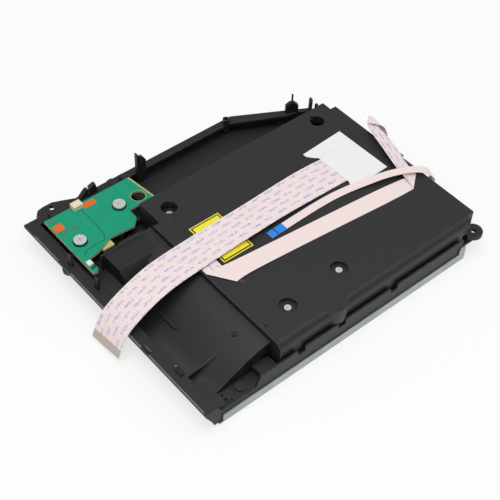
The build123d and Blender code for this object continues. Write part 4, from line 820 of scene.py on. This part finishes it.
# On the board: pads, test points, one track and the bare right end
board_end = [(-132.2, 148.4), (-131.1, 148.4), (-128.4, 127.3), (-129.5, 127.3)]
board_plates = (
    ("board_pad_right", rectangle(-165.2, -157.2, 143.2, 147.0), orange_pad, pad_thickness),
    ("board_pad_left", rectangle(-188.3, -182.4, 137.2, 142.3), orange_pad, pad_thickness),
    ("board_end", board_end, gilt_edge, pad_thickness),
    ("board_chip_front", rectangle(-187.9, -186.7, 103.2, 104.2), dark_part, chip_thickness),
    ("board_chip_back", rectangle(-186.1, -185.4, 103.6, 105.0), dark_part, chip_thickness),
)
for name, outline, material, thickness in board_plates:
    flat_pieces.append(plate(name, outline, board_top, thickness, material))
gap_radius, point_radius = 1.2, 0.7
for number, (x, y) in enumerate(((-185.4, 145.5), (-178.4, 134.7), (-185.4, 134.6))):
    for name, radius, z, material in (
        ("test_point_gap", gap_radius, board_top, dark_lacquer),
        ("test_point", point_radius, board_top + ink_thickness, orange_pad),
    ):
        outline = circle(x, y, radius)
        flat_pieces.append(plate(f"{name}_{number}", outline, z, ink_thickness, material))
board_track = [
    (-167.4, 143.7),
    (-167.8, 121.3),
    (-170.4, 116.9),
    (-175.4, 116.9),
    (-182.8, 116.5),
    (-185.5, 114.1),
]
track_width = 0.45
flat_pieces.append(track("board_track", board_track, track_width, board_top, dark_lacquer))

# On the entry lip: a thin light strip along its outer edge as a painted highlight, two latches and
# two upright hooks
highlight_strip_height = 0.25
hook_height, hook_taper, hook_edge = 8.0, 0.45, 0.25


def hook(name, low_corner, high_corner, lean):
    """An upright snap hook: a tapered post with softened edges, its tip leaning this far."""
    (x0, y0), (x1, y1) = low_corner, high_corner
    post = plate(name, rectangle(x0, x1, y0, y1), lip_top, hook_height, black_case)
    tip = at((x0 + x1) / 2, (y0 + y1) / 2 + lean, lip_top + hook_height)
    for vertex in post.data.vertices:
        if vertex.co.z > (lip_top + hook_height / 2) * mm:
            vertex.co = vertex.co.lerp(tip, hook_taper)
    soften = post.modifiers.new("edges", "BEVEL")
    soften.width = hook_edge * mm
    soften.segments = 2
    bpy.ops.object.modifier_apply(modifier=soften.name)
    return post


# Light strips along the lip's outer edge: a painted highlight
for number, (start, end) in enumerate(((-4.5, 40.8), (47.2, 111.0), (122.5, 146.0))):
    outline = rectangle(-197.45, -196.85, start, end)
    flat_pieces.append(plate(f"lip_edge_highlight_{number}", outline, lip_top, highlight_strip_height, painted_edge_highlight))
# The latch blocks are near-black as painted shade; their light rim and knob are painted highlights
for name, outline, height, material in (
    ("edge_latch", rectangle(-197.4, -195.3, 41.4, 46.6), 0.5, seam_shadow),
    ("edge_latch_rim", rectangle(-195.3, -194.9, 41.4, 46.6), 0.6, painted_edge_highlight),
    ("inner_latch", rectangle(-192.7, -190.3, 19.8, 25.4), 0.9, seam_shadow),
    ("inner_latch_knob", circle(-190.8, 26.2, 0.55), 1.0, painted_edge_highlight),
):
    flat_pieces.append(plate(name, outline, lip_top, height, material))
flat_pieces.append(hook("board_side_hook", (-194.3, 114.4), (-192.5, 118.4), 0.8))
flat_pieces.append(hook("tray_side_hook", (-192.5, 92.2), (-190.7, 96.0), -0.4))

# Rim of the board's open hole
rim_inner, rim_outer = 4.2, 4.5
rim_z = board_top + ink_thickness
flat_pieces.append(ring("hole_rim", -135.7, 133.0, rim_inner, rim_outer, rim_z, gilt_edge))
for piece in flat_pieces:
    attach(piece, "drive_body")


# Floor, background and lamps


def rays_that_see_white(tree, kinds):
    """1 for these kinds of rays, which see a white backdrop whatever lights it."""
    rays = add(tree, "LightPath")
    seen = 0.0
    for kind in kinds:
        either = {0: rays.outputs[f"Is {kind} Ray"], 1: seen}
        seen = add(tree, "Math", either, operation="MAXIMUM").outputs["Value"]
    return seen


def floor_and_light():
    """White paper just under the object, a white surround and three soft lamps."""
    floor_size, floor_drop = 6.0, 0.0002
    bpy.ops.object.select_all(action="DESELECT")
    bpy.ops.mesh.primitive_plane_add(size=floor_size, location=(0.0, 0.0, -floor_drop))
    floor = bpy.context.object
    floor.name = "floor"
    paper = blank("White studio paper")
    # Part of the white is the paper's own, so that the object's shadow stays on it
    own_white = 0.7
    seen = rays_that_see_white(paper, ("Camera", "Glossy", "Transmission"))
    share = add(paper, "Math", {0: seen, 1: own_white}, operation="MULTIPLY").outputs["Value"]
    matt = add(paper, "BsdfDiffuse", {"Color": linear("#fafafa")}).outputs["BSDF"]
    glow = add(paper, "Emission", {"Color": (1, 1, 1, 1), "Strength": 1.0}).outputs["Emission"]
    both = add(paper, "MixShader", {0: share, 1: matt, 2: glow}).outputs["Shader"]
    add(paper, "OutputMaterial", {"Surface": both})
    floor.data.materials.append(paper)

    world = bpy.data.worlds.new("studio")
    world.use_nodes = True
    bpy.context.scene.world = world
    world.node_tree.nodes.clear()
    surround_light = 0.42
    seen = rays_that_see_white(world, ("Camera", "Transmission"))
    ends = {"Value": seen, "To Min": surround_light, "To Max": 1.0}
    values = {"Color": (1, 1, 1, 1), "Strength": add(world, "MapRange", ends).outputs["Result"]}
    sky = add(world, "Background", values).outputs["Background"]
    add(world, "OutputWorld", {"Surface": sky})

    # Places and sizes in metres, powers in watts
    for name, place, size, power in (
        ("key_lamp", (-0.2, -0.1, 1.3), 1.2, 10.5),
        ("fill_lamp", (-0.7, -0.5, 0.6), 0.6, 0.8),
        ("edge_lamp", (0.7, -0.2, 0.7), 0.5, 0.8),
    ):
        lamp = bpy.data.lights.new(name, "AREA")
        lamp.shape = "SQUARE"
        lamp.size = size
        lamp.energy = power
        held = bpy.data.objects.new(name, lamp)
        held.location = place
        held.rotation_euler = (-Vector(place)).to_track_quat("-Z", "Y").to_euler()
        bpy.context.scene.collection.objects.link(held)


floor_and_light()
bpy.context.scene.view_settings.view_transform = "Standard"
